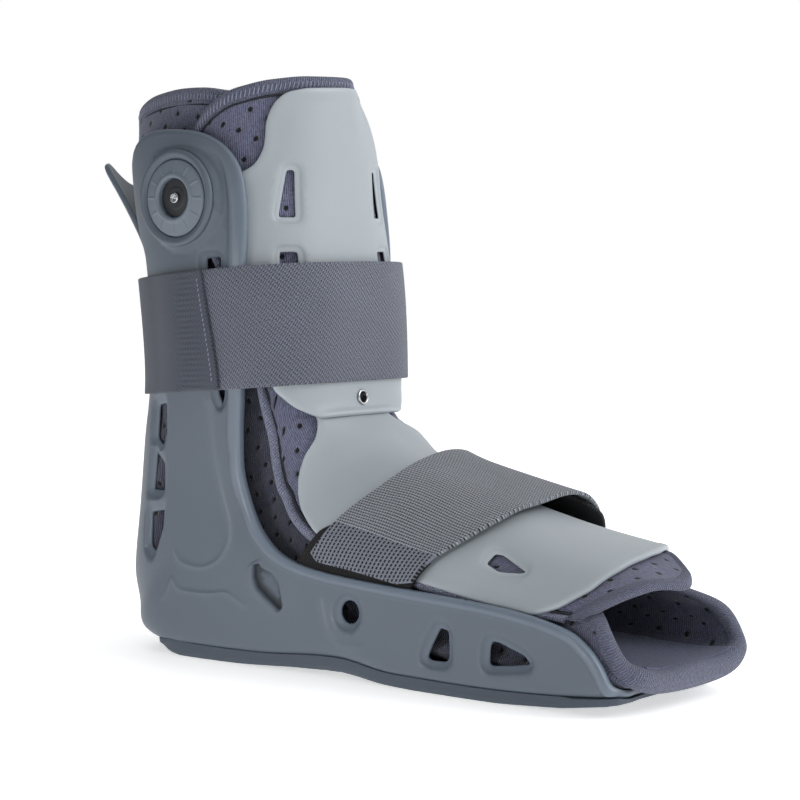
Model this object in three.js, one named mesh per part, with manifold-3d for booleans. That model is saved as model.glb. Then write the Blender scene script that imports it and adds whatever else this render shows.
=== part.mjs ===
// Inflatable ankle brace: a short walker boot for the right foot.
// Millimetres. X runs to the toes, Y to the wearer's left, Z up. The origin is the middle of the flat sole.
import * as THREE from "three";
import { mergeVertices } from "three/addons/utils/BufferGeometryUtils.js";
import Module from "manifold-3d";

const kernel = await Module();
kernel.setup();

// Driving sizes
const SOLE_CENTRE = 120;
const GAP = 0.4;
const LINER_THICK = 5;
const LINER_SOLE_THICK = 6.4;
const LINER_SIDE_PAD = 7.4;
const TONGUE_THICK = 3.6;
const PLATE_THICK = 2;
const PLATE_OVERLAP_LIFT = 2.6;
const SHELL_THICK = 3;
const STRAP_THICK = 1.8;
const CALF_STRAP_WIDTH = 52;

// Sections of the foot form at skin level, from the collar round the heel to the toes.
// Each plane holds a line from the sole or back of the leg (plantar) to the instep or shin (dorsal).
const STATION_COLUMNS = [
  "dorsalX", "dorsalZ", "plantarX", "plantarZ", "halfWidth", "centreShare",
  "dorsalPower", "plantarPower", "shellPower",
];
const STATIONS = [
  [74.0, 262.0, -22.0, 262.0, 37.5, 0.62, 2.1, 2.2, 2.2],
  [75.5, 236.0, -19.5, 236.0, 38.5, 0.62, 2.1, 2.2, 2.2],
  [77.5, 205.0, -13.0, 205.0, 38.5, 0.60, 2.1, 2.2, 2.2],
  [79.5, 171.0, -7.0, 171.0, 37.0, 0.56, 2.3, 2.2, 2.2],
  [80.3, 128.0, -5.0, 126.0, 32.0, 0.52, 2.7, 2.2, 2.2],
  [81.5, 113.0, -8.5, 96.0, 30.0, 0.48, 2.6, 2.3, 2.3],
  [85.5, 106.5, -13.0, 66.0, 29.0, 0.46, 2.5, 2.4, 2.4],
  [91.0, 101.5, -15.5, 36.0, 29.0, 0.44, 2.4, 2.6, 2.7],
  [96.5, 97.5, -8.0, 17.5, 29.5, 0.42, 2.3, 2.8, 3.6],
  [102.5, 93.7, 10.0, 13.4, 30.0, 0.40, 2.2, 3.2, 4.8],
  [109.0, 89.2, 40.0, 14.1, 30.5, 0.38, 2.2, 3.6, 7.0],
  [118.0, 84.0, 80.0, 15.3, 31.0, 0.37, 2.2, 4.0, 5.5],
  [137.0, 77.0, 120.0, 16.6, 32.0, 0.36, 2.2, 4.0, 4.6],
  [161.0, 69.2, 155.0, 17.0, 33.5, 0.35, 2.2, 4.0, 8.5],
  [206.0, 57.8, 204.0, 17.0, 35.0, 0.35, 2.2, 4.0, 9.0],
  [249.0, 50.2, 248.0, 18.3, 34.5, 0.36, 2.2, 4.0, 9.0],
  [275.0, 45.0, 275.0, 21.5, 33.0, 0.36, 2.2, 4.0, 9.0],
];

// Layers on the form: how far each face lies outside the skin at the front, the side and the back or sole
const tongueInner = LINER_THICK + 2 * GAP;
const tongueOuter = tongueInner + TONGUE_THICK;
const plateInner = tongueOuter + 3 * GAP;
const plateOuter = plateInner + PLATE_THICK;
const shellInner = plateOuter + GAP;
const shellOuter = shellInner + SHELL_THICK;
const shellBackInner = LINER_SOLE_THICK + 2.5 * GAP;
const shellBackOuter = shellBackInner + SHELL_THICK;

// Small number helpers
const radians = THREE.MathUtils.degToRad;
const lerp = THREE.MathUtils.lerp;
const ramp = (x, from, to) => THREE.MathUtils.smoothstep((x - from) / (to - from), 0, 1);

// Value of a table of [place, value] rows at a place, straight between rows
function read(table, place) {
  const next = table.findIndex((row) => row[0] > place);
  if (next === 0) return table[0][1];
  if (next < 0) return table[table.length - 1][1];
  const [a, b] = [table[next - 1], table[next]];
  return lerp(a[1], b[1], (place - a[0]) / (b[0] - a[0]));
}

// Section sizes at a station number, smooth between rows
function station(t) {
  const last = STATIONS.length - 1;
  const start = THREE.MathUtils.clamp(Math.floor(t), 0, last - 1);
  const rows = [-1, 0, 1, 2].map((step) => STATIONS[THREE.MathUtils.clamp(start + step, 0, last)]);
  const share = t - start;
  const section = {};
  STATION_COLUMNS.forEach((name, column) => {
    const [a, b, c, d] = rows.map((row) => row[column]);
    const tangentB = (c - a) / 2;
    const tangentC = (d - b) / 2;
    const square = (2 * b - 2 * c + tangentB + tangentC) * share;
    section[name] = ((square - 3 * b + 3 * c - 2 * tangentB - tangentC) * share + tangentB) * share + b;
  });
  return section;
}

// Point of a layer: station number, angle from the dorsal line in degrees (minus is the wearer's right)
function formPoint(t, degrees, offset) {
  const s = station(t);
  const axis = new THREE.Vector2(s.dorsalX - s.plantarX, s.dorsalZ - s.plantarZ);
  const length = axis.length();
  axis.normalize();
  const cosine = Math.cos(radians(degrees));
  const sine = Math.sin(radians(degrees));
  const dorsal = cosine >= 0;
  const solePower = offset.shell ? s.shellPower : s.plantarPower;
  const power = 2 / (dorsal ? s.dorsalPower : solePower);
  const reach = dorsal ? (1 - s.centreShare) * length + offset.front : s.centreShare * length + offset.back;
  const along = s.centreShare * length + Math.sign(cosine) * Math.abs(cosine) ** power * reach;
  const across = Math.sign(sine) * Math.abs(sine) ** power * (s.halfWidth + offset.side);
  return new THREE.Vector3(s.plantarX + axis.x * along, across, s.plantarZ + axis.y * along);
}

const even = (distance) => ({ front: distance, side: distance, back: distance });

// Station number where a layer crosses a height at an angle, found by halving
function stationAtHeight(height, degrees, offset) {
  let [high, low] = [0, 6];
  for (let step = 0; step < 30; step += 1) {
    const middle = (high + low) / 2;
    if (formPoint(middle, degrees, offset).z > height) high = middle;
    else low = middle;
  }
  return (high + low) / 2;
}

// Station number where the dorsal or plantar end of the form reaches a length along the foot
function stationAtLength(length) {
  let [back, front] = [9, 16];
  for (let step = 0; step < 30; step += 1) {
    const middle = (back + front) / 2;
    if (station(middle).plantarX < length) back = middle;
    else front = middle;
  }
  return (back + front) / 2;
}

// Closed solid between two faces of a grid; a ring grid joins its last column to its first
function slab(rows, columns, pointAt, ring = false) {
  const width = ring ? columns : columns + 1;
  const positions = [];
  for (const face of [0, 1]) {
    for (let i = 0; i <= rows; i += 1) {
      for (let j = 0; j < width; j += 1) positions.push(...pointAt(i / rows, j / columns, face).toArray());
    }
  }
  const id = (face, i, j) => (face * (rows + 1) + i) * width + (j % width);
  const index = [];
  const corner = (n) => new THREE.Vector3().fromArray(positions, 3 * n);
  const quad = (a, b, c, d) => {
    const short = corner(a).distanceTo(corner(c)) <= corner(b).distanceTo(corner(d));
    index.push(...(short ? [a, b, c, a, c, d] : [a, b, d, b, c, d]));
  };
  for (let i = 0; i < rows; i += 1) {
    for (let j = 0; j < columns; j += 1) {
      quad(id(1, i, j), id(1, i, j + 1), id(1, i + 1, j + 1), id(1, i + 1, j));
      quad(id(0, i, j), id(0, i + 1, j), id(0, i + 1, j + 1), id(0, i, j + 1));
    }
  }
  for (let j = 0; j < columns; j += 1) {
    quad(id(0, 0, j), id(0, 0, j + 1), id(1, 0, j + 1), id(1, 0, j));
    quad(id(0, rows, j), id(1, rows, j), id(1, rows, j + 1), id(0, rows, j + 1));
  }
  for (let i = 0; i < rows && !ring; i += 1) {
    quad(id(0, i, 0), id(1, i, 0), id(1, i + 1, 0), id(0, i + 1, 0));
    quad(id(0, i, columns), id(0, i + 1, columns), id(1, i + 1, columns), id(1, i, columns));
  }
  const geometry = new THREE.BufferGeometry();
  geometry.setAttribute("position", new THREE.Float32BufferAttribute(positions, 3));
  geometry.setIndex(index);
  return solid(geometry);
}

// Solid for cutting and joining, facing out, from any closed geometry
function solid(geometry) {
  const bare = geometry.clone();
  bare.deleteAttribute("normal");
  bare.deleteAttribute("uv");
  const welded = mergeVertices(bare, 1e-4);
  const vertices = welded.attributes.position;
  const corners = Array.from(welded.index.array);
  const triangles = [];
  let volume = 0;
  for (let k = 0; k < corners.length; k += 3) {
    const [a, b, c] = corners.slice(k, k + 3);
    if (a === b || b === c || c === a) continue;
    const [pa, pb, pc] = [a, b, c].map((n) => new THREE.Vector3().fromBufferAttribute(vertices, n));
    volume += pa.dot(pb.cross(pc));
    triangles.push(a, b, c);
  }
  if (volume < 0) triangles.reverse();
  const mesh = new kernel.Mesh({
    numProp: 3,
    vertProperties: new Float32Array(vertices.array),
    triVerts: new Uint32Array(triangles),
  });
  mesh.merge();
  return new kernel.Manifold(mesh);
}

// Flat outline in X and Z pushed through from one Y to another
function sidePrism(shape, fromY, toY) {
  const settings = { depth: toY - fromY, bevelEnabled: false, curveSegments: 1 };
  const geometry = new THREE.ExtrudeGeometry(shape, settings);
  geometry.rotateX(Math.PI / 2);
  geometry.translate(0, toY, 0);
  return solid(geometry);
}

// Turned body from [radius, height] rows, its axis pointing along a direction from a base point
function turned(profile, segments, base, direction) {
  const rows = [...profile, profile[0]].map(([radius, height]) => new THREE.Vector2(radius, height));
  const geometry = new THREE.LatheGeometry(rows, segments);
  geometry.applyQuaternion(new THREE.Quaternion().setFromUnitVectors(new THREE.Vector3(0, 1, 0), direction));
  geometry.translate(base.x, base.y, base.z);
  return solid(geometry);
}

// Plain round rod between two heights along its axis
function rod(radius, from, to, segments, base, direction) {
  return turned([[0, from], [radius, from], [radius, to], [0, to]], segments, base, direction);
}

// Rounded bead: its middle line and the two directions of its cross-section by row
function bead(rows, frameAt, reach, thick) {
  return slab(rows, 4, (i, j, face) => {
    const { middle, out, up } = frameAt(i);
    const turn = Math.PI * j;
    const point = middle.clone().addScaledVector(out, -reach * Math.cos(turn));
    return point.addScaledVector(up, (face ? thick : -thick) * Math.sin(turn));
  });
}

// Window through a layer: its end rows give a station number and the two angles of its edges
function windowCutter({ from, to, inner, outer }, side) {
  const faces = [even(inner), even(outer)];
  return slab(2, 1, (i, j, face) => {
    const t = lerp(from.t, to.t, i);
    const left = lerp(from.edges[0], to.edges[0], i);
    const right = lerp(from.edges[1], to.edges[1], i);
    return formPoint(t, side * lerp(left, right, j), faces[face]);
  });
}

const cutBothSides = (body, windows) => windows.reduce(
  (rest, window) => rest.subtract(windowCutter(window, 1)).subtract(windowCutter(window, -1)), body);

// Back shell

// Side outline of the uprights and foot walls: X, Z
const UPRIGHT_FRONT = [
  [62.0, 226.0], [66.4, 218.0], [68.8, 206.0], [69.8, 192.0], [69.6, 178.0], [67.5, 150.0], [65.0, 120.0],
  [63.0, 104.0], [62.8, 87.0], [67.9, 71.6], [76.7, 58.9], [91.4, 49.7], [116.9, 45.2], [156.4, 42.8],
  [209.0, 39.6], [238.0, 34.3], [250.0, 27.5], [259.0, 17.0], [264.0, 10.0],
];
const UPRIGHT_TOP = [
  [-4.6, 206.0], [-4.8, 221.0], [-1.0, 228.0], [7.8, 233.5], [18.0, 236.0], [32.0, 236.4], [46.0, 235.0],
  [55.5, 231.5],
];
const UPRIGHT_REAR = [[6.6, 160.0], [6.4, 174.0], [5.0, 182.0], [-1.6, 193.0]];
const SLOT_BOTTOM = 151;
const SHELL_TOE = 267;
const FAR_OUT = 90;

// Plan of the toe end: half width of the floor and its corner radius
const TOE_HALF_WIDTH = 52;
const TOE_CORNER = 22;

const points2 = (rows) => rows.map(([x, y]) => new THREE.Vector2(x, y));

const sideOutline = new THREE.Shape();
sideOutline.moveTo(-FAR_OUT, -20);
sideOutline.lineTo(-FAR_OUT, SLOT_BOTTOM);
sideOutline.lineTo(0, SLOT_BOTTOM);
sideOutline.splineThru(points2([...UPRIGHT_REAR, ...UPRIGHT_TOP, ...UPRIGHT_FRONT]));
sideOutline.lineTo(SHELL_TOE, 6);
sideOutline.lineTo(SHELL_TOE, -20);
sideOutline.closePath();

const toeOutline = new THREE.Shape();
toeOutline.moveTo(-FAR_OUT, -TOE_HALF_WIDTH - 20);
toeOutline.lineTo(SHELL_TOE - 80, -TOE_HALF_WIDTH - 20);
toeOutline.lineTo(SHELL_TOE - 80, -TOE_HALF_WIDTH);
toeOutline.lineTo(SHELL_TOE - TOE_CORNER, -TOE_HALF_WIDTH);
toeOutline.quadraticCurveTo(SHELL_TOE, -TOE_HALF_WIDTH, SHELL_TOE, TOE_CORNER - TOE_HALF_WIDTH);
toeOutline.lineTo(SHELL_TOE, TOE_HALF_WIDTH - TOE_CORNER);
toeOutline.quadraticCurveTo(SHELL_TOE, TOE_HALF_WIDTH, SHELL_TOE - TOE_CORNER, TOE_HALF_WIDTH);
toeOutline.lineTo(SHELL_TOE - 80, TOE_HALF_WIDTH);
toeOutline.lineTo(SHELL_TOE - 80, TOE_HALF_WIDTH + 20);
toeOutline.lineTo(-FAR_OUT, TOE_HALF_WIDTH + 20);
toeOutline.closePath();

function planPrism(shape) {
  const settings = { depth: 300, bevelEnabled: false, curveSegments: 5 };
  const geometry = new THREE.ExtrudeGeometry(shape, settings);
  geometry.translate(0, 0, -20);
  return solid(geometry);
}

// Rear finger: half width, top and the lean back that starts above the strap
const FINGER_HALF_WIDTH = 24.5;
const FINGER_TOP = 227;
const FINGER_CORNER = 13;
const FINGER_LEAN = 21;
const LEAN_START = 180;

// Faces of the shell wall: its floor is thicker under the front of the foot
const FLOOR_DROP = 2;
const shellInside = { front: shellInner, side: shellInner, back: shellBackInner };
function shellOutside(t, clearance = 0) {
  const floor = shellBackOuter + FLOOR_DROP * ramp(t, 12, 13);
  return { front: shellOuter, side: shellOuter, back: floor + clearance, shell: true };
}

function shellPoint(t, degrees, face) {
  const point = formPoint(t, degrees, face ? shellOutside(t) : shellInside);
  const rear = ramp(Math.abs(degrees - 180), 50, 32);
  const rise = Math.max(0, point.z - LEAN_START) / (FINGER_TOP - LEAN_START);
  point.x -= FINGER_LEAN * rear * rise ** 1.25;
  return point;
}

const FINGER_ROOT = 140;
const fingerSide = FINGER_HALF_WIDTH - FINGER_CORNER;
const fingerShoulder = FINGER_TOP - FINGER_CORNER;
const fingerOutline = new THREE.Shape();
fingerOutline.moveTo(-FINGER_HALF_WIDTH, FINGER_ROOT);
fingerOutline.lineTo(FINGER_HALF_WIDTH, FINGER_ROOT);
fingerOutline.lineTo(FINGER_HALF_WIDTH, fingerShoulder);
fingerOutline.quadraticCurveTo(FINGER_HALF_WIDTH, FINGER_TOP, fingerSide, FINGER_TOP);
fingerOutline.lineTo(-fingerSide, FINGER_TOP);
fingerOutline.quadraticCurveTo(-FINGER_HALF_WIDTH, FINGER_TOP, -FINGER_HALF_WIDTH, fingerShoulder);
fingerOutline.closePath();

function rearPrism(shape) {
  const settings = { depth: FAR_OUT, bevelEnabled: false, curveSegments: 6 };
  const geometry = new THREE.ExtrudeGeometry(shape, settings);
  geometry.rotateX(Math.PI / 2);
  geometry.rotateZ(-Math.PI / 2);
  return solid(geometry);
}

// Windows of the shell, the same on both sides: station number and edge angles at each end
const shellWindow = (from, to) => ({ from, to, inner: shellBackInner - 4, outer: shellOuter + 8 });
const SHELL_WINDOWS = [
  shellWindow({ t: 4.36, edges: [130, 115] }, { t: 5.08, edges: [120, 111] }),
  shellWindow({ t: 5.45, edges: [120, 108] }, { t: 6.05, edges: [119, 106.5] }),
  shellWindow({ t: 6.4, edges: [117, 105.5] }, { t: 7.05, edges: [113.5, 106] }),
  shellWindow({ t: 2.74, edges: [86, 78] }, { t: 4.5, edges: [82, 79.5] }),
  shellWindow({ t: 13.37, edges: [116, 112] }, { t: 13.59, edges: [117, 92] }),
  shellWindow({ t: 13.97, edges: [105, 93] }, { t: 14.35, edges: [107, 101] }),
];
const POCKET = {
  from: { t: 10.12, edges: [90, 86.5] },
  to: { t: 11.02, edges: [99, 97] },
  inner: shellOuter - 1.4,
  outer: shellOuter + 8,
};
const VENT = { x: 129, z: 31, radius: 5 };

// Flat seat for the air valve on the right upright
const VALVE = { x: 36, z: 206.4, seatY: -55.7, seatRadius: 21.6, seatDepth: 5.4 };
const valveOut = new THREE.Vector3(0, -1, 0);
const valveBase = new THREE.Vector3(VALVE.x, VALVE.seatY, VALVE.z);

// Grid of the shell wall; the outsole uses the same rows and columns
const SHELL_ROWS = 26;
const SHELL_COLUMNS = 32;
const LEG_ROWS = 9;
const LEG_END = 4.2;
const shellStation = (row) => (row < LEG_ROWS
  ? lerp(0.9, LEG_END, row / LEG_ROWS)
  : lerp(LEG_END, 15.85, (row - LEG_ROWS) / (SHELL_ROWS - LEG_ROWS)));
const shellDegrees = (column) => (360 * column) / SHELL_COLUMNS;

function makeBackShell() {
  const wall = slab(SHELL_ROWS, SHELL_COLUMNS, (i, j, face) => (
    shellPoint(shellStation(i * SHELL_ROWS), shellDegrees(j * SHELL_COLUMNS), face)), true);
  const sides = wall.intersect(sidePrism(sideOutline, -80, 80)).intersect(planPrism(toeOutline));
  const finger = wall.intersect(rearPrism(fingerOutline));
  const seat = rod(VALVE.seatRadius, -VALVE.seatDepth, 0, 24, valveBase, valveOut);
  const vent = rod(VENT.radius, -FAR_OUT, FAR_OUT, 12, new THREE.Vector3(VENT.x, 0, VENT.z), valveOut);
  const whole = sides.add(finger).add(seat).subtract(vent);
  return cutBothSides(whole, [...SHELL_WINDOWS, POCKET]);
}

// Outsole: follows the shell floor, rocker underneath: length along the foot, underside height.
// It is thick in the middle and thin at the edges, so the edges rise with the shell under the arch.
const UNDERSIDE = [[-6, 4], [8, 2], [24, 0], [205, 0], [236, 1.6], [256, 4.2], [270, 7.2]];
const OUTSOLE_MIDDLE = 7;
const OUTSOLE_EDGE = 4.6;
const OUTSOLE_LEAST = 2;
const OUTSOLE_ROWS = { heel: 16, toe: SHELL_ROWS };
const OUTSOLE_COLUMNS = 8;
const OUTSOLE_TOE = 265.5;

function makeOutsole() {
  const rows = OUTSOLE_ROWS.toe - OUTSOLE_ROWS.heel;
  const firstColumn = (SHELL_COLUMNS - OUTSOLE_COLUMNS) / 2;
  const last = stationAtLength(OUTSOLE_TOE);
  const whole = slab(rows, OUTSOLE_COLUMNS, (i, j, face) => {
    const t = Math.min(shellStation(OUTSOLE_ROWS.heel + i * rows), last);
    const point = formPoint(t, shellDegrees(firstColumn + j * OUTSOLE_COLUMNS), shellOutside(t, GAP));
    const thick = lerp(OUTSOLE_MIDDLE, OUTSOLE_EDGE, (2 * j - 1) ** 2);
    const ground = Math.min(read(UNDERSIDE, point.x), point.z - OUTSOLE_LEAST);
    if (face === 1) point.z = Math.max(ground, point.z - thick);
    return point;
  });
  return whole.intersect(planPrism(toeOutline));
}

// Liner boot: half angle left open down the front, top edge and toe edge by angle
const LINER_OPEN = [[0, 48], [3, 44], [6, 42], [10, 46], [14, 56], [16, 60]];
const COLLAR_STATION = [
  [48, 0.64], [71, 0.6], [86, 0.54], [99, 0.53], [120, 0.62], [134, 0.73], [180, 0.98],
];
const TOE_EDGE = [[60, 236], [72, 243], [82, 248], [95, 252.5], [112, 262], [128, 267.5], [180, 269]];

const LINER_COLUMNS = 16;

function linerGrid(i, j) {
  const guess = lerp(48, 312, j);
  const folded = 180 - Math.abs(guess - 180);
  const top = read(COLLAR_STATION, folded);
  const toe = stationAtLength(read(TOE_EDGE, folded));
  const t = lerp(top, toe, i);
  const open = read(LINER_OPEN, t);
  return { t, degrees: lerp(open, 360 - open, j) };
}

function linerOuter(t, degrees) {
  const folded = 180 - Math.abs(degrees - 180);
  const pad = LINER_SIDE_PAD * ramp(folded, 99, 118) * ramp(t, 0.7, 1.8) * ramp(t, 15.1, 14.3);
  return { front: LINER_THICK, side: LINER_THICK + pad, back: LINER_SOLE_THICK };
}

function makeLinerBoot() {
  return slab(18, LINER_COLUMNS, (i, j, face) => {
    const { t, degrees } = linerGrid(i, j);
    return formPoint(t, degrees, face ? linerOuter(t, degrees) : even(0));
  });
}

// Liner tongue: half angle by station, top edge by share of the half angle.
// The front edge slants back on the wearer's left, so its shares run from -1 to 1.
const TONGUE_HALF = [
  [0, 97], [1, 97], [2, 92], [3, 82], [4.3, 71], [5.1, 67.5], [6.6, 62.5], [9.4, 63], [11, 73.5], [13, 79],
  [14.5, 79], [16, 76],
];
const TONGUE_TOP = [
  [0, 0.32], [0.28, 0.34], [0.5, 0.42], [0.71, 0.57], [0.86, 0.83], [0.93, 1.08], [1, 1.35],
];
const TONGUE_FRONT = [
  [-1, 244], [-0.9, 249], [-0.74, 257], [-0.54, 265], [-0.3, 269], [-0.08, 269], [0.12, 265], [0.38, 256],
  [0.77, 245], [1, 240],
];

const TONGUE_COLUMNS = 10;

function tongueGrid(i, j) {
  const share = lerp(-1, 1, j);
  const t = lerp(read(TONGUE_TOP, Math.abs(share)), stationAtLength(read(TONGUE_FRONT, share)), i);
  return { t, degrees: share * read(TONGUE_HALF, t) };
}

function makeLinerTongue() {
  return slab(18, TONGUE_COLUMNS, (i, j, face) => {
    const { t, degrees } = tongueGrid(i, j);
    return formPoint(t, degrees, even(face ? tongueOuter : tongueInner));
  });
}

// Edge bindings: beads just beyond the sewn edges, a row for each column of the sewn piece
function edgeFrame(grid, end, j, middleOffset, reach) {
  const edge = grid(end, j);
  const inside = grid(end ? 0.98 : 0.02, j);
  const at = (place, offset) => formPoint(place.t, place.degrees, even(offset));
  const rim = at(edge, middleOffset);
  const out = rim.clone().sub(at(inside, middleOffset)).normalize();
  const up = at(edge, middleOffset + 1).sub(rim).normalize();
  return { middle: rim.addScaledVector(out, reach + 1.5 * GAP), out, up };
}

function makeBinding(grid, columns, skip, end, middleOffset, { reach, thick }) {
  const rows = columns - 2 * skip;
  const frameAt = (i) => edgeFrame(grid, end, (skip + i * rows) / columns, middleOffset, reach);
  return bead(rows, frameAt, reach, thick);
}

const LINER_BINDING = { reach: 2.6, thick: 2.8 };
const TONGUE_BINDING = { reach: 2.2, thick: 2 };
const makeCollarBinding = () => makeBinding(linerGrid, LINER_COLUMNS, 1, 0, LINER_THICK / 2, LINER_BINDING);
const makeToeBinding = () => makeBinding(linerGrid, LINER_COLUMNS, 1, 1, LINER_THICK / 2, LINER_BINDING);
const tongueMiddle = (tongueInner + tongueOuter) / 2 + GAP;
const makeTongueBinding = () => makeBinding(tongueGrid, TONGUE_COLUMNS, 0, 0, tongueMiddle, TONGUE_BINDING);

// Plates

const plateWindow = (from, to) => ({ from, to, inner: plateInner - 6, outer: plateOuter + 6 });

// Shin plate: half angle by height, top and bottom edges by share of the half angle
const SHIN_HALF = [
  [100, 26], [111, 44], [116, 53], [122, 58], [135, 59], [150, 61], [165, 69], [212, 72], [216, 66],
  [220, 55], [228, 49], [242, 47], [260, 45],
];
const SHIN_TOP = [[0, 255.5], [0.55, 254.5], [0.8, 252.5], [0.93, 248], [1, 241]];
const SHIN_BOTTOM = [[0, 108.5], [0.3, 109.3], [0.55, 111], [0.8, 115], [1, 123]];
const shinLift = (height) => PLATE_OVERLAP_LIFT * ramp(height, 147, 127);
const SHIN_EYELET_HEIGHT = 118.4;

function shinPoint(height, degrees, distance) {
  const offset = even(distance + shinLift(height));
  return formPoint(stationAtHeight(height, degrees, offset), degrees, offset);
}

function makeShinPlate() {
  const plate = slab(18, 10, (i, j, face) => {
    const share = Math.abs(2 * j - 1);
    const height = lerp(read(SHIN_TOP, share), read(SHIN_BOTTOM, share), i);
    return shinPoint(height, lerp(-1, 1, j) * read(SHIN_HALF, height), face ? plateOuter : plateInner);
  });
  const windows = [
    plateWindow({ t: 1.56, edges: [38, 33] }, { t: 2.22, edges: [44, 33] }),
    plateWindow({ t: 2.66, edges: [44.5, 32] }, { t: 3.5, edges: [50, 30] }),
  ];
  return cutBothSides(plate, windows).subtract(eyeletHole());
}

// Dorsal plate: half angle by station, front edge by share of the half angle, slanted as the tongue's
const DORSAL_HALF = [
  [4.2, 20], [5.8, 25], [7.2, 35], [7.9, 45.5], [8.7, 52], [9.6, 58], [10.4, 64.5], [11, 71], [12, 76],
  [14.4, 80], [16, 80],
];
const DORSAL_TOP = 4.25;
const DORSAL_FRONT = [
  [-1, 222], [-0.9, 233], [-0.7, 243.5], [-0.43, 249.5], [-0.18, 252], [0, 251], [0.18, 246], [0.45, 237],
  [0.75, 228], [1, 221],
];

function makeDorsalPlate() {
  const plate = slab(18, 10, (i, j, face) => {
    const share = lerp(-1, 1, j);
    const t = lerp(DORSAL_TOP, stationAtLength(read(DORSAL_FRONT, share)), i);
    return formPoint(t, share * read(DORSAL_HALF, t), even(face ? plateOuter : plateInner));
  });
  const windows = [
    plateWindow({ t: 13.72, edges: [58, 53] }, { t: 14.15, edges: [57, 53] }),
    plateWindow({ t: 13.76, edges: [59, 47.5] }, { t: 13.9, edges: [59.5, 47.5] }),
  ];
  return cutBothSides(plate, windows).subtract(eyeletHole());
}

// Eyelet through both plates
const EYELET = {
  flangeRadius: 3.9, flangeThick: 0.8, barrelRadius: 2.5, boreRadius: 1.6, clearance: 0.4, stand: 1.3,
};
const eyeletReach = 3;
const eyeletSlope = shinPoint(SHIN_EYELET_HEIGHT + eyeletReach, 0, plateOuter)
  .sub(shinPoint(SHIN_EYELET_HEIGHT - eyeletReach, 0, plateOuter));
const eyeletOut = new THREE.Vector3(eyeletSlope.z, 0, -eyeletSlope.x).normalize();
const eyeletBase = shinPoint(SHIN_EYELET_HEIGHT, 0, plateOuter).addScaledVector(eyeletOut, EYELET.stand);

function eyeletHole() {
  const radius = EYELET.barrelRadius + EYELET.clearance;
  return rod(radius, -8, 4, 12, eyeletBase, eyeletOut);
}

function makePlateEyelet() {
  const depth = PLATE_OVERLAP_LIFT + PLATE_THICK;
  const profile = [
    [EYELET.boreRadius, -depth],
    [EYELET.barrelRadius, -depth],
    [EYELET.barrelRadius, 0],
    [EYELET.flangeRadius, 0],
    [EYELET.flangeRadius - 0.5, EYELET.flangeThick],
    [EYELET.boreRadius, EYELET.flangeThick],
  ];
  return turned(profile, 12, eyeletBase, eyeletOut);
}

// Calf strap: rises a little to the front, the back part ends on top of the front part
const CALF_MIDDLE = { x: 35, z: 147, slope: 0.085 };
const CALF_SEAM = 85;
const CALF_LAP = 8;
const CALF_FRONT_OFFSET = 15.6;

function calfPoint(share, degrees, distance) {
  const offset = {
    front: CALF_FRONT_OFFSET + distance,
    side: shellOuter + GAP + distance,
    back: shellBackOuter + GAP + distance,
  };
  const rough = formPoint(3.5, degrees, offset);
  const middle = CALF_MIDDLE.z + CALF_MIDDLE.slope * (rough.x - CALF_MIDDLE.x);
  const height = middle + CALF_STRAP_WIDTH * (0.5 - share);
  return formPoint(stationAtHeight(height, degrees, offset), degrees, offset);
}

function makeCalfStrapFront() {
  const end = CALF_SEAM + CALF_LAP;
  return slab(3, 20, (i, j, face) => calfPoint(i, lerp(-end, end, j), face * STRAP_THICK));
}

function makeCalfStrapBack() {
  return slab(3, 20, (i, j, face) => {
    const degrees = lerp(CALF_SEAM, 360 - CALF_SEAM, j);
    const folded = 180 - Math.abs(degrees - 180);
    const lap = (STRAP_THICK + GAP) * ramp(folded, CALF_SEAM + CALF_LAP + 9, CALF_SEAM + CALF_LAP + 1);
    return calfPoint(i, degrees, lap + face * STRAP_THICK);
  });
}

// Instep straps: rear and front edges by angle; both stand off the plate on the wearer's left
const STRAP_REAR = [
  [-90, 11.1], [-66, 11.24], [-52, 11.52], [-36, 11.8], [-12, 11.86], [20, 11.6], [90, 11.2],
];
const STRAP_FRONT = [
  [-90, 13.0], [-68, 13.2], [-53, 13.48], [-30, 13.68], [0, 13.72], [40, 13.75], [90, 13.5],
];
const standOff = (i, degrees) => 6 * ramp(degrees, 0, 40) * ramp(degrees, 80, 52) * lerp(0.35, 1, i);
const underInner = plateOuter + GAP;
const underOuter = underInner + STRAP_THICK;
const instepInner = underOuter + 2 * GAP;
const instepOuter = instepInner + STRAP_THICK;
const STRAP_STEP = 9;
const STRAP_ROWS = 4;
const TAB_START = -63;
const TAB_END = -81;
const INSTEP_END = 63;
const UNDER_END = 79;

function instepPoint(i, degrees, distance) {
  const t = lerp(read(STRAP_REAR, degrees), read(STRAP_FRONT, degrees), i);
  return formPoint(t, degrees, even(distance + standOff(i, degrees)));
}

function makeInstepStrap() {
  const columns = (INSTEP_END - TAB_START) / STRAP_STEP;
  return slab(STRAP_ROWS, columns, (i, j, face) => (
    instepPoint(i, lerp(TAB_START, INSTEP_END, j), face ? instepOuter : instepInner)));
}

function makeInstepStrapTab() {
  return slab(STRAP_ROWS, 2, (i, j, face) => {
    const clip = 5 * Math.max(0, Math.abs(2 * i - 1) - 0.6) / 0.4;
    const degrees = lerp(TAB_START - 0.6, TAB_END + clip, j);
    return instepPoint(i, degrees, face ? instepOuter : instepInner);
  });
}

function makeInstepUnderStrap() {
  return slab(STRAP_ROWS, 18, (i, j, face) => {
    const degrees = THREE.MathUtils.clamp(STRAP_STEP * (18 * j - 9), -UNDER_END, UNDER_END);
    const rear = lerp(0.06, -0.14, ramp(degrees, -45, -68));
    const front = lerp(0.96, 1.03, ramp(degrees, 20, 45));
    return instepPoint(lerp(rear, front, i), degrees, face ? underOuter : underInner);
  });
}

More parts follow.
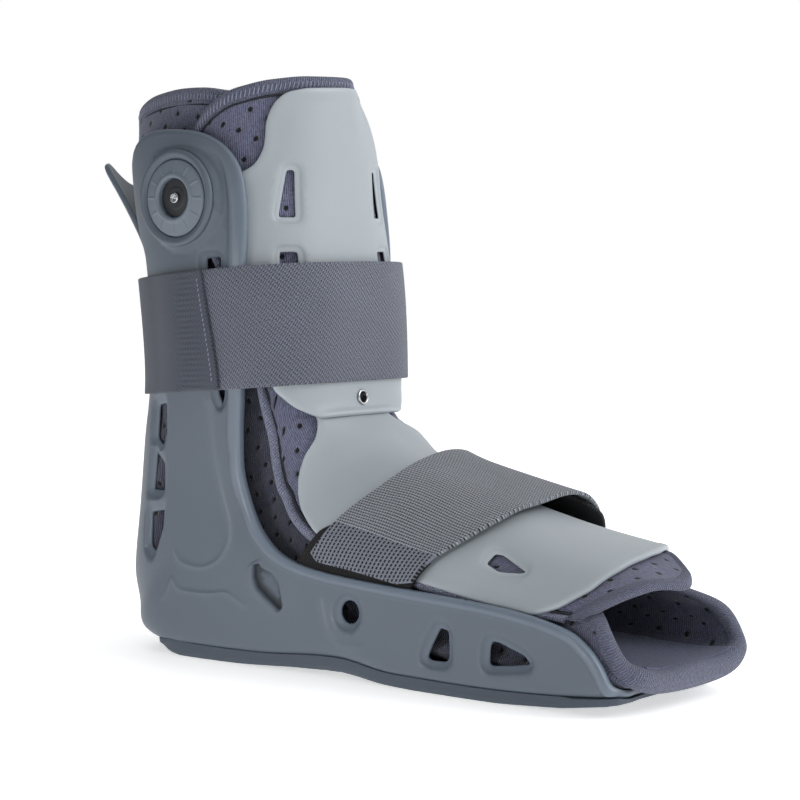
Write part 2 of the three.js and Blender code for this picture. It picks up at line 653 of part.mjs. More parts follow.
// Air valve on the right upright: radius and height above its seat
const BEZEL_PROFILE = [[17.4, 0.3], [21, 0.3], [21, 1], [20.2, 1.8], [18.2, 1.8], [17.4, 1]];
const DIAL_PROFILE = [[9.2, 0.3], [16.8, 0.3], [16.8, 1.6], [12.5, 2.8], [10, 3.4], [9.2, 2.8]];
const CORE_PROFILE = [
  [0, 0.3], [8.6, 0.3], [8.6, 0.8], [3.4, 0.8], [2.2, 1.4], [2.2, 2.8], [1.4, 3.2], [0, 3.2],
];
const makeValveBezel = () => turned(BEZEL_PROFILE, 22, valveBase, valveOut);
const makeValveDial = () => turned(DIAL_PROFILE, 22, valveBase, valveOut);
const makeValveCore = () => turned(CORE_PROFILE, 16, valveBase, valveOut);

// Materials: colour, roughness, metalness
const MATERIALS = {
  shell_plastic: [0x5d656e, 0.5, 0],
  sole_rubber: [0x454b53, 0.8, 0],
  plate_plastic: [0xa6adb2, 0.45, 0],
  liner_knit: [0x74768a, 0.95, 0],
  binding_knit: [0x68697c, 0.95, 0],
  strap_twill: [0x50565f, 0.9, 0],
  strap_weave: [0x787d88, 0.9, 0],
  tab_mesh: [0x6f747c, 0.9, 0],
  hook_black: [0x15151a, 0.95, 0],
  chrome: [0xd0d3d6, 0.2, 1],
};

const PIECES = [
  ["back_shell", "shell_plastic", makeBackShell],
  ["outsole", "sole_rubber", makeOutsole],
  ["liner_boot", "liner_knit", makeLinerBoot],
  ["liner_tongue", "liner_knit", makeLinerTongue],
  ["collar_binding", "binding_knit", makeCollarBinding],
  ["toe_binding", "binding_knit", makeToeBinding],
  ["tongue_binding", "binding_knit", makeTongueBinding],
  ["shin_plate", "plate_plastic", makeShinPlate],
  ["dorsal_plate", "plate_plastic", makeDorsalPlate],
  ["plate_eyelet", "chrome", makePlateEyelet],
  ["calf_strap_front", "strap_weave", makeCalfStrapFront],
  ["calf_strap_back", "strap_twill", makeCalfStrapBack],
  ["instep_under_strap", "hook_black", makeInstepUnderStrap],
  ["instep_strap", "strap_weave", makeInstepStrap],
  ["instep_strap_tab", "tab_mesh", makeInstepStrapTab],
  ["valve_bezel", "shell_plastic", makeValveBezel],
  ["valve_dial", "shell_plastic", makeValveDial],
  ["valve_core", "chrome", makeValveCore],
];

const SMALLEST_STEP = 0.06;

// Mesh from a solid, moved so that the origin is the middle of the sole
function meshOf(name, slot, body) {
  const result = body.simplify(SMALLEST_STEP).getMesh();
  const geometry = new THREE.BufferGeometry();
  geometry.setAttribute("position", new THREE.Float32BufferAttribute(result.vertProperties, 3));
  geometry.setIndex(Array.from(result.triVerts));
  geometry.translate(-SOLE_CENTRE, 0, 0);
  geometry.computeVertexNormals();
  const [color, roughness, metalness] = MATERIALS[slot];
  const material = new THREE.MeshStandardMaterial({ color, roughness, metalness });
  material.name = slot;
  const mesh = new THREE.Mesh(geometry, material);
  mesh.name = name;
  return mesh;
}

const brace = new THREE.Group();
brace.name = "inflatable_ankle_brace";
for (const [name, slot, make] of PIECES) brace.add(meshOf(name, slot, make()));

export default brace;
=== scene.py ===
"""Short inflatable walking boot: moulded back shell, grey plates, knit liner, straps and an air valve.

The tables are in millimetres, before the part is moved to the middle of its sole:
X runs to the toes, Y to the wearer's left and Z up. The near side is the wearer's right.
"""

import math

import bmesh
import bpy
import numpy as np
from bpy.props import FloatProperty, FloatVectorProperty, PointerProperty
from mathutils import Matrix, Vector
from mathutils.geometry import delaunay_2d_cdt
from mathutils.kdtree import KDTree


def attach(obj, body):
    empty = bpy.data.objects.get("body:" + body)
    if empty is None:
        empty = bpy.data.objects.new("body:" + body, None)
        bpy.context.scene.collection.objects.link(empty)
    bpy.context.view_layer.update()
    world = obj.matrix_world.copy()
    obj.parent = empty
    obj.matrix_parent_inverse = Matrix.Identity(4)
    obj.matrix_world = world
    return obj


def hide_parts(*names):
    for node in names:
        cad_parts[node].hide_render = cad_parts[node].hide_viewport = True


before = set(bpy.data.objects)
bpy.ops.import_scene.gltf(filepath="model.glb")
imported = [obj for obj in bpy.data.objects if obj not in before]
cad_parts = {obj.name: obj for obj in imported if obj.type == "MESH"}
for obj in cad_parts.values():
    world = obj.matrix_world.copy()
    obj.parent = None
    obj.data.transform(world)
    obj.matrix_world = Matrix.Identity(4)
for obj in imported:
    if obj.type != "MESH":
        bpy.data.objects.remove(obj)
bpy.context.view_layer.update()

bl_info = {
    "name": "Walking boot dresser",
    "version": (1, 0, 0),
    "blender": (4, 5, 0),
    "location": "View3D > Sidebar > Boot",
    "description": "Builds the visible pieces of a short inflatable walking boot",
    "category": "Object",
}

MM = 0.001
SOLE_CENTRE = 120.0
NEAR, FAR = 1, -1

# Sections of the foot form: dorsal X, Z, plantar X, Z, half width, share of the centre, powers of the dorsal
# side, of the plantar side and of the plantar side of the shell
PLANTAR_X = 2
STATIONS = np.array([
    [74.0, 262.0, -22.0, 262.0, 37.5, 0.62, 2.1, 2.2, 2.2],
    [75.5, 236.0, -19.5, 236.0, 38.5, 0.62, 2.1, 2.2, 2.2],
    [77.5, 205.0, -13.0, 205.0, 38.5, 0.60, 2.2, 2.2, 2.2],
    [79.5, 171.0, -7.0, 171.0, 37.0, 0.56, 2.9, 2.2, 2.2],
    [80.3, 128.0, -5.0, 126.0, 32.0, 0.52, 4.0, 2.2, 2.2],
    [81.5, 113.0, -8.5, 96.0, 30.0, 0.48, 4.2, 2.3, 2.3],
    [85.5, 106.5, -13.0, 66.0, 29.0, 0.46, 3.8, 2.4, 2.3],
    [91.0, 101.5, -15.5, 36.0, 29.0, 0.44, 3.2, 2.6, 2.5],
    [96.5, 97.5, -8.0, 17.5, 29.5, 0.42, 2.7, 2.8, 3.1],
    [102.5, 93.7, 10.0, 13.4, 30.0, 0.40, 2.4, 3.2, 7.0],
    [109.0, 89.2, 40.0, 14.1, 30.5, 0.38, 2.2, 3.6, 14.0],
    [118.0, 84.0, 80.0, 15.3, 31.0, 0.37, 2.2, 4.0, 10.0],
    [137.0, 77.0, 120.0, 16.6, 32.0, 0.36, 2.2, 4.0, 7.0],
    [161.0, 69.2, 155.0, 17.0, 33.5, 0.35, 2.2, 4.0, 13.0],
    [206.0, 57.8, 204.0, 17.0, 35.0, 0.35, 2.2, 4.0, 14.0],
    [249.0, 50.2, 248.0, 18.3, 34.5, 0.36, 2.2, 4.0, 9.0],
    [275.0, 45.0, 275.0, 21.5, 33.0, 0.36, 2.2, 4.0, 7.0],
])

# Thickness of the layers and their distance outside the skin
LINER_THICK = 5.0
LINER_SOLE = 6.4
TONGUE_INNER, TONGUE_OUTER = 5.8, 9.4
PLATE_INNER, PLATE_OUTER = 10.6, 12.6
SHELL_OUTER, SHELL_BACK = 16.0, 10.4
SHELL_THICK = 3.0
STRAP_THICK = 1.8
# How far the far side of the ankle's front is pushed out, and where that starts and is full
FAR_SWELL = np.array([6.5, 6.0, 0.0])
SWELL_SIDE, SWELL_LOW, SWELL_HIGH, SWELL_REAR, SWELL_TOE = (4, 24), (72, 90), (112, 98), (60, 84), (150, 112)
# How far the far side of the top's front is drawn in, and where that starts and is full
FAR_TUCK = np.array([5.0, 4.0, 0.0])
TUCK_SIDE, TUCK_REAR, TUCK_LOW = (2, 24), (36, 64), (218, 262)
HALVINGS = 34


def ramp(x, start, end):
    """Smooth step from 0 at start to 1 at end."""
    share = np.clip((np.asarray(x, float) - start) / (end - start), 0.0, 1.0)
    return share * share * (3.0 - 2.0 * share)


def lerp(a, b, share):
    return a + (b - a) * share


def read(table, place):
    """Value of a table of (place, value) rows, straight between rows."""
    rows = np.asarray(table, float)
    return np.interp(place, rows[:, 0], rows[:, 1])


def smooth_read(table, place, reach):
    """Value of a table, averaged over a reach to either side so that its bends are soft."""
    return sum(read(table, place + reach * step) for step in (-1, -0.5, 0, 0.5, 1)) / 5


def unit(vectors):
    return vectors / np.maximum(np.linalg.norm(vectors, axis=-1, keepdims=True), 1e-12)


def run_of(points, axis=0):
    """Way from the first point of a path, or of each line of a grid."""
    steps = np.linalg.norm(np.diff(points, axis=axis), axis=-1)
    return np.insert(np.cumsum(steps, axis=axis), 0, 0.0, axis=axis)


def read_path(at, run, path):
    """Points of a path at some ways along its run."""
    return np.stack([np.interp(at, run, axis) for axis in path.T], 1)


def curve(a, b, c, d, share):
    """Smooth way from b to c, with a before and d after them."""
    slope_b, slope_c = (c - a) / 2, (d - b) / 2
    cubic = (2 * b - 2 * c + slope_b + slope_c) * share - 3 * b + 3 * c - 2 * slope_b - slope_c
    return (cubic * share + slope_b) * share + b


def station(t):
    """Section sizes at a station number, smooth between rows."""
    t = np.asarray(t, float)
    last = len(STATIONS) - 1
    start = np.clip(np.floor(t).astype(int), 0, last - 1)
    share = (t - start)[..., None]
    rows = [STATIONS[np.clip(start + step, 0, last)] for step in (-1, 0, 1, 2)]
    return curve(*rows, share)


def far_swell(points):
    """Points of the form with the far side pushed out at the ankle's front and drawn in at the top."""
    x, y, z = points[..., 0], points[..., 1], points[..., 2]
    push = ramp(y, *SWELL_SIDE) * ramp(z, *SWELL_LOW) * ramp(z, *SWELL_HIGH)
    push = push * ramp(x, *SWELL_REAR) * ramp(x, *SWELL_TOE)
    draw = ramp(y, *TUCK_SIDE) * ramp(x, *TUCK_REAR) * ramp(z, *TUCK_LOW)
    return points + push[..., None] * FAR_SWELL - draw[..., None] * FAR_TUCK


def form_point(t, degrees, front, side=None, back=None, shell=False):
    """Point of a layer at a station number and an angle from the dorsal line, minus on the near side.

    The distances say how far outside the form it lies at the front, the sides and the back.
    """
    side = front if side is None else side
    back = front if back is None else back
    t, degrees = np.broadcast_arrays(np.asarray(t, float), np.asarray(degrees, float))
    columns = np.moveaxis(station(t), -1, 0)
    top_x, top_z, low_x, low_z, half, centre, top_power, low_power, shell_power = columns
    axis_x, axis_z = top_x - low_x, top_z - low_z
    length = np.hypot(axis_x, axis_z)
    cosine, sine = np.cos(np.radians(degrees)), np.sin(np.radians(degrees))
    dorsal = cosine >= 0
    power = 2 / np.where(dorsal, top_power, shell_power if shell else low_power)
    reach = np.where(dorsal, (1 - centre) * length + front, centre * length + back)
    along = centre * length + np.sign(cosine) * np.abs(cosine) ** power * reach
    across = np.sign(sine) * np.abs(sine) ** power * (half + side)
    x, z = low_x + axis_x / length * along, low_z + axis_z / length * along
    return far_swell(np.stack([x, across, z], -1))


def halve(low, high, before):
    """Place between low and high where a test turns from true to false, by halving."""
    low, high = np.broadcast_arrays(np.asarray(low, float), np.asarray(high, float))
    for _ in range(HALVINGS):
        middle = (low + high) / 2
        early = before(middle)
        low, high = np.where(early, middle, low), np.where(early, high, middle)
    return (low + high) / 2


def station_at_height(height, degrees, *distances):
    height, degrees = np.broadcast_arrays(np.asarray(height, float), np.asarray(degrees, float))
    none = np.zeros_like(height)
    return halve(none, none + 6, lambda t: form_point(t, degrees, *distances)[..., 2] > height)


def station_at_length(length):
    length = np.asarray(length, float)
    first, last = np.full_like(length, 9), np.full_like(length, 16)
    return halve(first, last, lambda t: station(t)[..., PLANTAR_X] < length)


# Flat outlines


def resample(path, step, closed=True):
    """Points at even steps along a path."""
    path = np.asarray(path, float)
    if closed:
        path = np.vstack([path, path[:1]])
    run = run_of(path)
    count = max(3, int(round(run[-1] / step)))
    at = np.linspace(0, run[-1], count + 1)[: count if closed else count + 1]
    return read_path(at, run, path)


def soften(loop, radius, step=0.5):
    """A closed loop with its corners rounded by averaging along it."""
    fine = resample(loop, step)
    width = max(1, int(round(radius / step)))
    reach = np.arange(-3 * width, 3 * width + 1)
    weight = np.exp(-0.5 * (reach / width) ** 2)
    weight /= weight.sum()
    index = (np.arange(len(fine))[:, None] + reach[None]) % len(fine)
    return (fine[index] * weight[None, :, None]).sum(1)


def smooth_path(path, step=0.5):
    """An open path with smooth turns through its points."""
    p = np.asarray(path, float)
    p = np.vstack([2 * p[0] - p[1], p, 2 * p[-1] - p[-2]])
    share = np.linspace(0, 1, 12, endpoint=False)[:, None]
    runs = [curve(*rows, share) for rows in zip(p[:-3], p[1:-2], p[2:-1], p[3:])]
    return resample(np.vstack(runs + [p[-2:-1]]), step, closed=False)


def tree_of(points):
    tree = KDTree(len(points))
    for k, (x, y) in enumerate(points):
        tree.insert((x, y, 0), k)
    tree.balance()
    return tree


def away_from(tree, places):
    return np.array([tree.find((x, y, 0))[2] for x, y in places])


def distance_to(points, places):
    """Distance of each flat place to the nearest of some points."""
    return away_from(tree_of(points), places)


def inside(loop, places):
    """Which places lie inside a closed loop."""
    ax, ay = loop.T
    bx, by = np.roll(loop, -1, 0).T
    rise = np.where(np.abs(by - ay) < 1e-12, 1e-12, by - ay)
    found = []
    for part in np.array_split(places, max(1, len(places) // 3000)):
        x, y = part[:, :1], part[:, 1:2]
        cross = ((ay > y) != (by > y)) & (x < (bx - ax) * (y - ay) / rise + ax)
        found.append(cross.sum(1) % 2 == 1)
    return np.concatenate(found)


def turned_left(loop):
    """The loop with its inside on the left."""
    x, y = loop.T
    area = (x * np.roll(y, -1) - np.roll(x, -1) * y).sum()
    return loop if area > 0 else loop[::-1]


def left_of(path, closed=True):
    """Directions to the left of a path."""
    tangent = np.roll(path, -1, 0) - np.roll(path, 1, 0) if closed else np.gradient(path, axis=0)
    tangent = unit(tangent)
    return np.stack([-tangent[:, 1], tangent[:, 0]], 1)


# Pairs of coordinates that a point is known by from the side, from above and from the end
SIDE_VIEW, PLAN_VIEW, END_VIEW = (0, 2), (0, 1), (1, 2)


class Layer:
    """One face of the form laid flat.

    Its places run along from its first row and around from its middle line, plus on the near side.
    """

    ROWS, COLUMNS = 521, 301

    def __init__(self, place, first, last, widest, back, line=80.0):
        t = np.linspace(first, last, self.ROWS)
        # The angles crowd at the sides, where a high power bends the section sharply
        crowd = np.logspace(-7, math.log10(90), 260)
        fine = np.unique(np.concatenate([[0, 90], 90 - crowd, 90 + crowd, np.linspace(0, widest, 240)]))
        fine = fine[(fine >= 0) & (fine <= widest)]
        points = place(t[:, None], (fine - 180 if back else -fine)[None, :])
        run = run_of(points, 1)
        self.t, self.girth = t, run[:, -1]
        share = np.linspace(0, 1, self.COLUMNS)
        self.grid = np.empty((self.ROWS, self.COLUMNS, 3))
        self.angle = np.empty((self.ROWS, self.COLUMNS))
        for r in range(self.ROWS):
            at = share * self.girth[r]
            self.grid[r] = read_path(at, run[r], points[r])
            self.angle[r] = np.interp(at, run[r], fine)
        self.along = run_of(points[:, np.argmin(np.abs(fine - line))])
        normal = np.cross(np.gradient(self.grid, axis=0), np.gradient(self.grid, axis=1))
        normal[:, 0, 1] = 0
        centre = self.grid.mean(1, keepdims=True) * (1, 0, 1)
        if (normal * (self.grid - centre)).sum() < 0:
            normal = -normal
        self.normal = unit(normal)

    def cell(self, flat):
        row = np.interp(flat[:, 0], self.along, np.arange(self.ROWS))
        girth = np.interp(row, np.arange(self.ROWS), self.girth)
        return row, np.clip(np.abs(flat[:, 1]) / girth * (self.COLUMNS - 1), 0, self.COLUMNS - 1)

    @staticmethod
    def mix(table, row, column):
        r = np.clip(np.floor(row).astype(int), 0, table.shape[0] - 2)
        c = np.clip(np.floor(column).astype(int), 0, table.shape[1] - 2)
        u, v = row - r, column - c
        if table.ndim == 3:
            u, v = u[:, None], v[:, None]
        return lerp(lerp(table[r, c], table[r, c + 1], v), lerp(table[r + 1, c], table[r + 1, c + 1], v), u)

    def at(self, flat):
        """Points and outward directions of flat places."""
        flat = np.asarray(flat, float)
        row, column = self.cell(flat)
        side = np.where(flat[:, 1] >= 0, 1.0, -1.0)[:, None] * (0, 1, 0) + (1, 0, 1)
        points = far_swell(self.mix(self.grid, row, column) * side)
        return points, unit(self.mix(self.normal, row, column)) * side

    def lay(self, t, degrees):
        """Flat places of station numbers and angles from the middle line, near side plus."""
        t, degrees = np.broadcast_arrays(np.asarray(t, float), np.asarray(degrees, float))
        row = np.interp(t, self.t, np.arange(self.ROWS))
        around = []
        for r, d in zip(row.ravel(), degrees.ravel()):
            k = int(round(r))
            share = np.interp(abs(d), self.angle[k], np.linspace(0, 1, self.COLUMNS))
            around.append(math.copysign(share * np.interp(r, np.arange(self.ROWS), self.girth), d))
        return np.stack([np.interp(t, self.t, self.along).ravel(), np.array(around)], 1)

    def find(self, targets, axes, widest=180.0):
        """Flat places on the near side of points known by two of their coordinates."""
        table = self.grid[:, :, axes]
        beyond = np.where(self.angle > widest, 1e9, 0.0)
        probes = ((0, 0), (0.5, 0), (0, 0.5))
        places = []
        for target in np.asarray(targets, float):
            spread = ((table - target) ** 2).sum(-1) + beyond
            r, c = [float(k) for k in np.unravel_index(spread.argmin(), spread.shape)]
            for _ in range(8):
                tried = [self.mix(table, np.array([r + a]), np.array([c + b])) for a, b in probes]
                here, dr, dc = [found[0] for found in tried]
                slope = np.stack([(dr - here) * 2, (dc - here) * 2], 1)
                move = np.linalg.lstsq(slope, target - here, rcond=None)[0]
                r = float(np.clip(r + np.clip(move[0], -2, 2), 0, self.ROWS - 1))
                c = float(np.clip(c + np.clip(move[1], -2, 2), 0, self.COLUMNS - 1))
            girth = np.interp(r, np.arange(self.ROWS), self.girth)
            places.append((np.interp(r, np.arange(self.ROWS), self.along), c / (self.COLUMNS - 1) * girth))
        return np.array(places)


def flat_sheet(outline, windows, step, rows, guides=()):
    """A flat bmesh: rows of points beside every edge and guide line, and a staggered lattice between them."""
    loops = [turned_left(outline)] + [turned_left(window)[::-1] for window in windows]
    points, edges = [], []
    for loop in loops:
        start, count = len(points), len(loop)
        points.extend(loop)
        edges += [(start + k, start + (k + 1) % count) for k in range(count)]
    rim = tree_of(np.concatenate([resample(loop, 0.35) for loop in loops]))

    def within(places):
        keep = inside(loops[0], places)
        for window in loops[1:]:
            keep &= ~inside(window, places)
        return places[keep]

    lines = []
    for loop in loops:
        inward = left_of(loop)
        for row in rows:
            ring = loop + row * inward
            lines.append(ring[away_from(rim, ring) > 0.93 * row])
    lines += [guide[away_from(rim, guide) > rows[-1] * 0.8] for guide in guides]
    low, high = outline.min(0), outline.max(0)
    a = np.arange(low[0], high[0], step * math.sqrt(0.75))
    b = np.arange(low[1], high[1], step)
    grid_a, grid_b = np.meshgrid(a, b, indexing="ij")
    grid_b = grid_b + np.where(np.arange(len(a)) % 2, step / 2, 0)[:, None]
    lattice = within(np.stack([grid_a.ravel(), grid_b.ravel()], 1))
    lattice = lattice[away_from(rim, lattice) > rows[-1] + 0.45 * step]
    lines = within(np.concatenate(lines))
    lattice = lattice[distance_to(lines, lattice) > 0.55 * step]
    points.extend(lines)
    points.extend(lattice)
    places, _, faces, *_ = delaunay_2d_cdt([Vector(p) for p in points], edges, [], 1, 1e-5)
    centres = np.array([sum((places[k] for k in face), Vector((0, 0))) / 3 for face in faces])
    solid = np.ones(len(faces), bool)
    for window in loops[1:]:
        solid &= ~inside(window, centres)
    bm = bmesh.new()
    corners = [bm.verts.new((p[0], p[1], 0)) for p in places]
    for face, kept in zip(faces, solid):
        if kept:
            bm.faces.new([corners[k] for k in face])
    bm.verts.index_update()
    return bm


def grid_sheet(along, around):
    """A flat bmesh grid whose places run from 0 to 1 both ways."""
    bm = bmesh.new()
    bmesh.ops.create_grid(bm, x_segments=along, y_segments=around, size=0.5)
    bmesh.ops.translate(bm, verts=bm.verts, vec=(0.5, 0.5, 0))
    bm.verts.index_update()
    return bm


def flat_places(bm):
    return np.array([vert.co[:2] for vert in bm.verts])


def round_rim(bulge, steps=5):
    """Rows of an edge that is rounded over: share of the way to the inner face, distance outwards."""
    turn = np.linspace(0, math.pi, steps + 1)[1:-1]
    return [((1 - math.cos(a)) / 2, bulge * math.sin(a)) for a in turn]


def raise_wall(bm, outer, inner, rim):
    """Lifts a flat sheet to its outer face and closes it with its inner face and a shaped edge."""
    seed = bm.verts.layers.int.new("seed")
    level = bm.verts.layers.int.new("level")
    for k, vert in enumerate(bm.verts):
        vert[seed] = k
        vert.co = outer[k]
    bm.normal_update()
    out = np.zeros_like(outer)
    edges = [edge for edge in bm.edges if edge.is_boundary]
    for edge in edges:
        a, b = edge.verts
        face = edge.link_faces[0]
        side = (b.co - a.co).cross(face.normal)
        if side.dot((a.co + b.co) / 2 - face.calc_center_median()) < 0:
            side.negate()
        side.normalize()
        out[a[seed]] += side
        out[b[seed]] += side
    out = unit(out)
    copy = bmesh.ops.duplicate(bm, geom=bm.verts[:] + bm.edges[:] + bm.faces[:])["geom"]
    bmesh.ops.reverse_faces(bm, faces=[item for item in copy if isinstance(item, bmesh.types.BMFace)])
    last = len(rim) + 1
    below = {}
    for item in copy:
        if isinstance(item, bmesh.types.BMVert):
            item[level] = last
            below[item[seed]] = item
    for row in range(1, last + 1):
        ring = bmesh.ops.extrude_edge_only(bm, edges=edges)["geom"]
        verts = [item for item in ring if isinstance(item, bmesh.types.BMVert)]
        edges = [item for item in ring if isinstance(item, bmesh.types.BMEdge)]
        for vert in verts:
            vert[level] = row
    bmesh.ops.weld_verts(bm, targetmap={vert: below[vert[seed]] for vert in verts})
    for vert in bm.verts:
        k, row = vert[seed], vert[level]
        if row == 0:
            vert.co = outer[k]
        elif row == last:
            vert.co = inner[k]
        else:
            share, reach = rim[row - 1]
            vert.co = lerp(outer[k], inner[k], share) + out[k] * reach
    bmesh.ops.recalc_face_normals(bm, faces=bm.faces)


def sweep(middle, out, up, section, height=None):
    """A bead along a path; each row of its section gives a distance outwards and a distance up.

    The height may scale the distance up at each point of the path.
    """
    height = np.ones(len(middle)) if height is None else height
    count, around = len(middle), len(section)
    closed = np.vstack([section, section[:1]])
    run, turn = run_of(middle), run_of(closed)
    bm = grid_sheet(count - 1, around)
    flat = bm.loops.layers.uv.new("flat")
    place = np.rint(flat_places(bm) * (count - 1, around)).astype(int)
    for face in bm.faces:
        for loop in face.loops:
            i, j = place[loop.vert.index]
            loop[flat].uv = (run[i] * MM, turn[j] * MM)
    for vert, (i, j) in zip(bm.verts, place):
        a, b = closed[j]
        vert.co = middle[i] + out[i] * a + up[i] * b * height[i]
    bmesh.ops.remove_doubles(bm, verts=bm.verts, dist=1e-4)
    bmesh.ops.holes_fill(bm, edges=[edge for edge in bm.edges if edge.is_boundary], sides=0)
    bmesh.ops.recalc_face_normals(bm, faces=bm.faces)
    return bm


def oval(reach_out, reach_in, half, power=2.4, count=20):
    """Section of a bead: flatter than an ellipse, further out than in."""
    turn = np.linspace(0, math.tau, count, endpoint=False) + math.pi
    cosine, sine = np.cos(turn), np.sin(turn)
    reach = np.where(cosine > 0, reach_out, reach_in)
    shape = lambda value: np.sign(value) * np.abs(value) ** (2 / power)
    return np.stack([shape(cosine) * reach, shape(sine) * half], 1)


def turn_profile(profile, base, out, steps=96):
    """A turned body: a closed chain of (radius, height) points spun round an axis."""
    out = Vector(out).normalized()
    across = out.orthogonal().normalized()
    base = Vector(base)
    bm = bmesh.new()
    chain = [bm.verts.new(base + across * radius + out * height) for radius, height in profile]
    edges = [bm.edges.new((chain[k], chain[(k + 1) % len(chain)])) for k in range(len(chain))]
    bmesh.ops.spin(bm, geom=chain + edges, cent=base, axis=out, angle=math.tau, steps=steps, use_merge=True)
    bmesh.ops.remove_doubles(bm, verts=bm.verts, dist=1e-4)
    bmesh.ops.dissolve_degenerate(bm, edges=bm.edges, dist=1e-5)
    bmesh.ops.recalc_face_normals(bm, faces=bm.faces)
    return bm


def rounded_profile(corners, radius=0.25, steps=3):
    """A closed profile with every corner cut round."""
    p = np.asarray(corners, float)
    rows = []
    for k, here in enumerate(p):
        before, after = p[k - 1], p[(k + 1) % len(p)]
        if here[0] < 1e-6:
            rows.append(here)
            continue
        cut = min(radius, 0.4 * np.linalg.norm(before - here), 0.4 * np.linalg.norm(after - here))
        start, end = here + cut * unit(before - here), here + cut * unit(after - here)
        for share in np.linspace(0, 1, steps + 1):
            rows.append(lerp(lerp(start, here, share), lerp(here, end, share), share))
    return np.array(rows)


# Finishes


class Wire:
    """A socket of a material's nodes that takes part in sums."""

    def __init__(self, graph, socket):
        self.graph, self.socket = graph, socket

    def sum_with(self, operation, *terms):
        return self.graph.node("ShaderNodeMath", {"operation": operation}, dict(enumerate(terms)))

    def __add__(self, other):
        return self.sum_with("ADD", self, other)

    def __sub__(self, other):
        return self.sum_with("SUBTRACT", self, other)

    def __rsub__(self, other):
        return self.sum_with("SUBTRACT", other, self)

    def __mul__(self, other):
        return self.sum_with("MULTIPLY", self, other)

    def __truediv__(self, other):
        return self.sum_with("DIVIDE", self, other)

    def __rtruediv__(self, other):
        return self.sum_with("DIVIDE", other, self)

    def __pow__(self, other):
        return self.sum_with("POWER", self, other)

    __radd__ = __add__
    __rmul__ = __mul__

    def wave(self, pitch):
        """A wave from 0 to 1 that repeats at a pitch."""
        angle = self * (math.tau / pitch)
        return angle.sum_with("SINE", angle) * 0.5 + 0.5

    def fraction(self):
        return self.sum_with("FRACT", self)

    def floor(self):
        return self.sum_with("FLOOR", self)

    def size(self):
        return self.sum_with("ABSOLUTE", self)

    def most(self, other):
        return self.sum_with("MAXIMUM", self, other)

    def between(self, low, high):
        """Smooth step from 0 at low to 1 at high."""
        inputs = {"Value": self, "From Min": low, "From Max": high}
        return self.graph.node("ShaderNodeMapRange", {"interpolation_type": "SMOOTHSTEP"}, inputs)


class Graph:
    """The nodes of one finish."""

    def __init__(self, name, colour, roughness, **constants):
        self.material = bpy.data.materials.new(name)
        self.material.use_nodes = True
        self.tree = self.material.node_tree
        self.shader = self.tree.nodes["Principled BSDF"]
        self.colour = tuple(colour[:3]) + (1.0,)
        self.material.diffuse_color = self.colour
        self.set("Base Color", self.colour)
        self.set("Roughness", roughness)
        for socket, value in constants.items():
            self.set(socket.replace("_", " ").title(), value)

    def node(self, kind, settings=None, inputs=None, output=0):
        made = self.tree.nodes.new(kind)
        for name, value in (settings or {}).items():
            setattr(made, name, value)
        for name, value in (inputs or {}).items():
            if isinstance(value, Wire):
                self.tree.links.new(value.socket, made.inputs[name])
            else:
                made.inputs[name].default_value = value
        return Wire(self, made.outputs[output])

    def set(self, socket, value):
        if isinstance(value, Wire):
            self.tree.links.new(value.socket, self.shader.inputs[socket])
        else:
            self.shader.inputs[socket].default_value = value

    def axes(self, vector):
        return [self.node("ShaderNodeSeparateXYZ", None, {0: vector}, k) for k in range(3)]

    def flat(self):
        """Places along and around the piece, in metres."""
        return self.node("ShaderNodeUVMap", {"uv_map": "flat"})

    def place(self):
        """Places in the part's frame, in metres."""
        return self.node("ShaderNodeTexCoord", None, None, "Object")

    def noise(self, vector, size, detail=2.0, roughness=0.5):
        inputs = {"Vector": vector, "Scale": 1 / size, "Detail": detail, "Roughness": roughness}
        return self.node("ShaderNodeTexNoise", None, inputs)

    def mark(self, name):
        return self.node("ShaderNodeAttribute", {"attribute_name": name}, None, "Fac")

    def shade(self, factor):
        """The finish's colour times a factor for each place."""
        grey = self.node("ShaderNodeCombineXYZ", None, {0: factor, 1: factor, 2: factor})
        settings = {"data_type": "RGBA", "blend_type": "MULTIPLY"}
        return self.node("ShaderNodeMix", settings, {0: 1.0, 6: self.colour, 7: grey}, 2)

    def bump(self, height, depth):
        inputs = {"Height": height, "Distance": depth, "Strength": 1.0}
        self.set("Normal", self.node("ShaderNodeBump", None, inputs))


def linear(code):
    """Linear colour of a hexadecimal screen colour."""
    parts = [int(code[k : k + 2], 16) / 255 for k in (1, 3, 5)]
    return tuple(part / 12.92 if part <= 0.04045 else ((part + 0.055) / 1.055) ** 2.4 for part in parts)


def moulded_finish(name, colour, roughness, edge=0.3, grain=0.0009, depth=0.00006):
    """Moulded plastic: fine grain, cloudy tone and smoother edges, with painted highlights along its edges
    and painted shade where the rim mark is below zero.
    """
    g = Graph(name, colour, roughness)
    place = g.place()
    cloud = g.noise(place, 0.035, 3.0)
    fine = g.noise(place, grain, 1.0)
    rim = g.mark("rim")
    # Painted light: the rim mark paints highlights on edges and raised lines and painted shade where it is
    # below zero; edge sets its strength
    g.set("Base Color", g.shade(0.93 + cloud * 0.1 + fine * 0.04 + rim * edge))
    g.set("Roughness", roughness - 0.06 + fine * 0.1 + cloud * 0.06 - rim * 0.05)
    g.bump(fine, depth)
    return g.material


def rubber_finish(name, colour):
    g = Graph(name, colour, 0.75)
    place = g.place()
    fine = g.noise(place, 0.0012, 2.0)
    dust = g.noise(place, 0.02, 4.0, 0.6)
    g.set("Base Color", g.shade(0.85 + dust * 0.22 + fine * 0.08))
    g.set("Roughness", 0.62 + dust * 0.25)
    g.bump(fine, 0.00012)
    return g.material


# Slant of the rows of air holes, in degrees, and how much painted shade darkens the liner boot away from its
# rims
HOLE_TURN, BOOT_SHADE = -37.0, 0.55


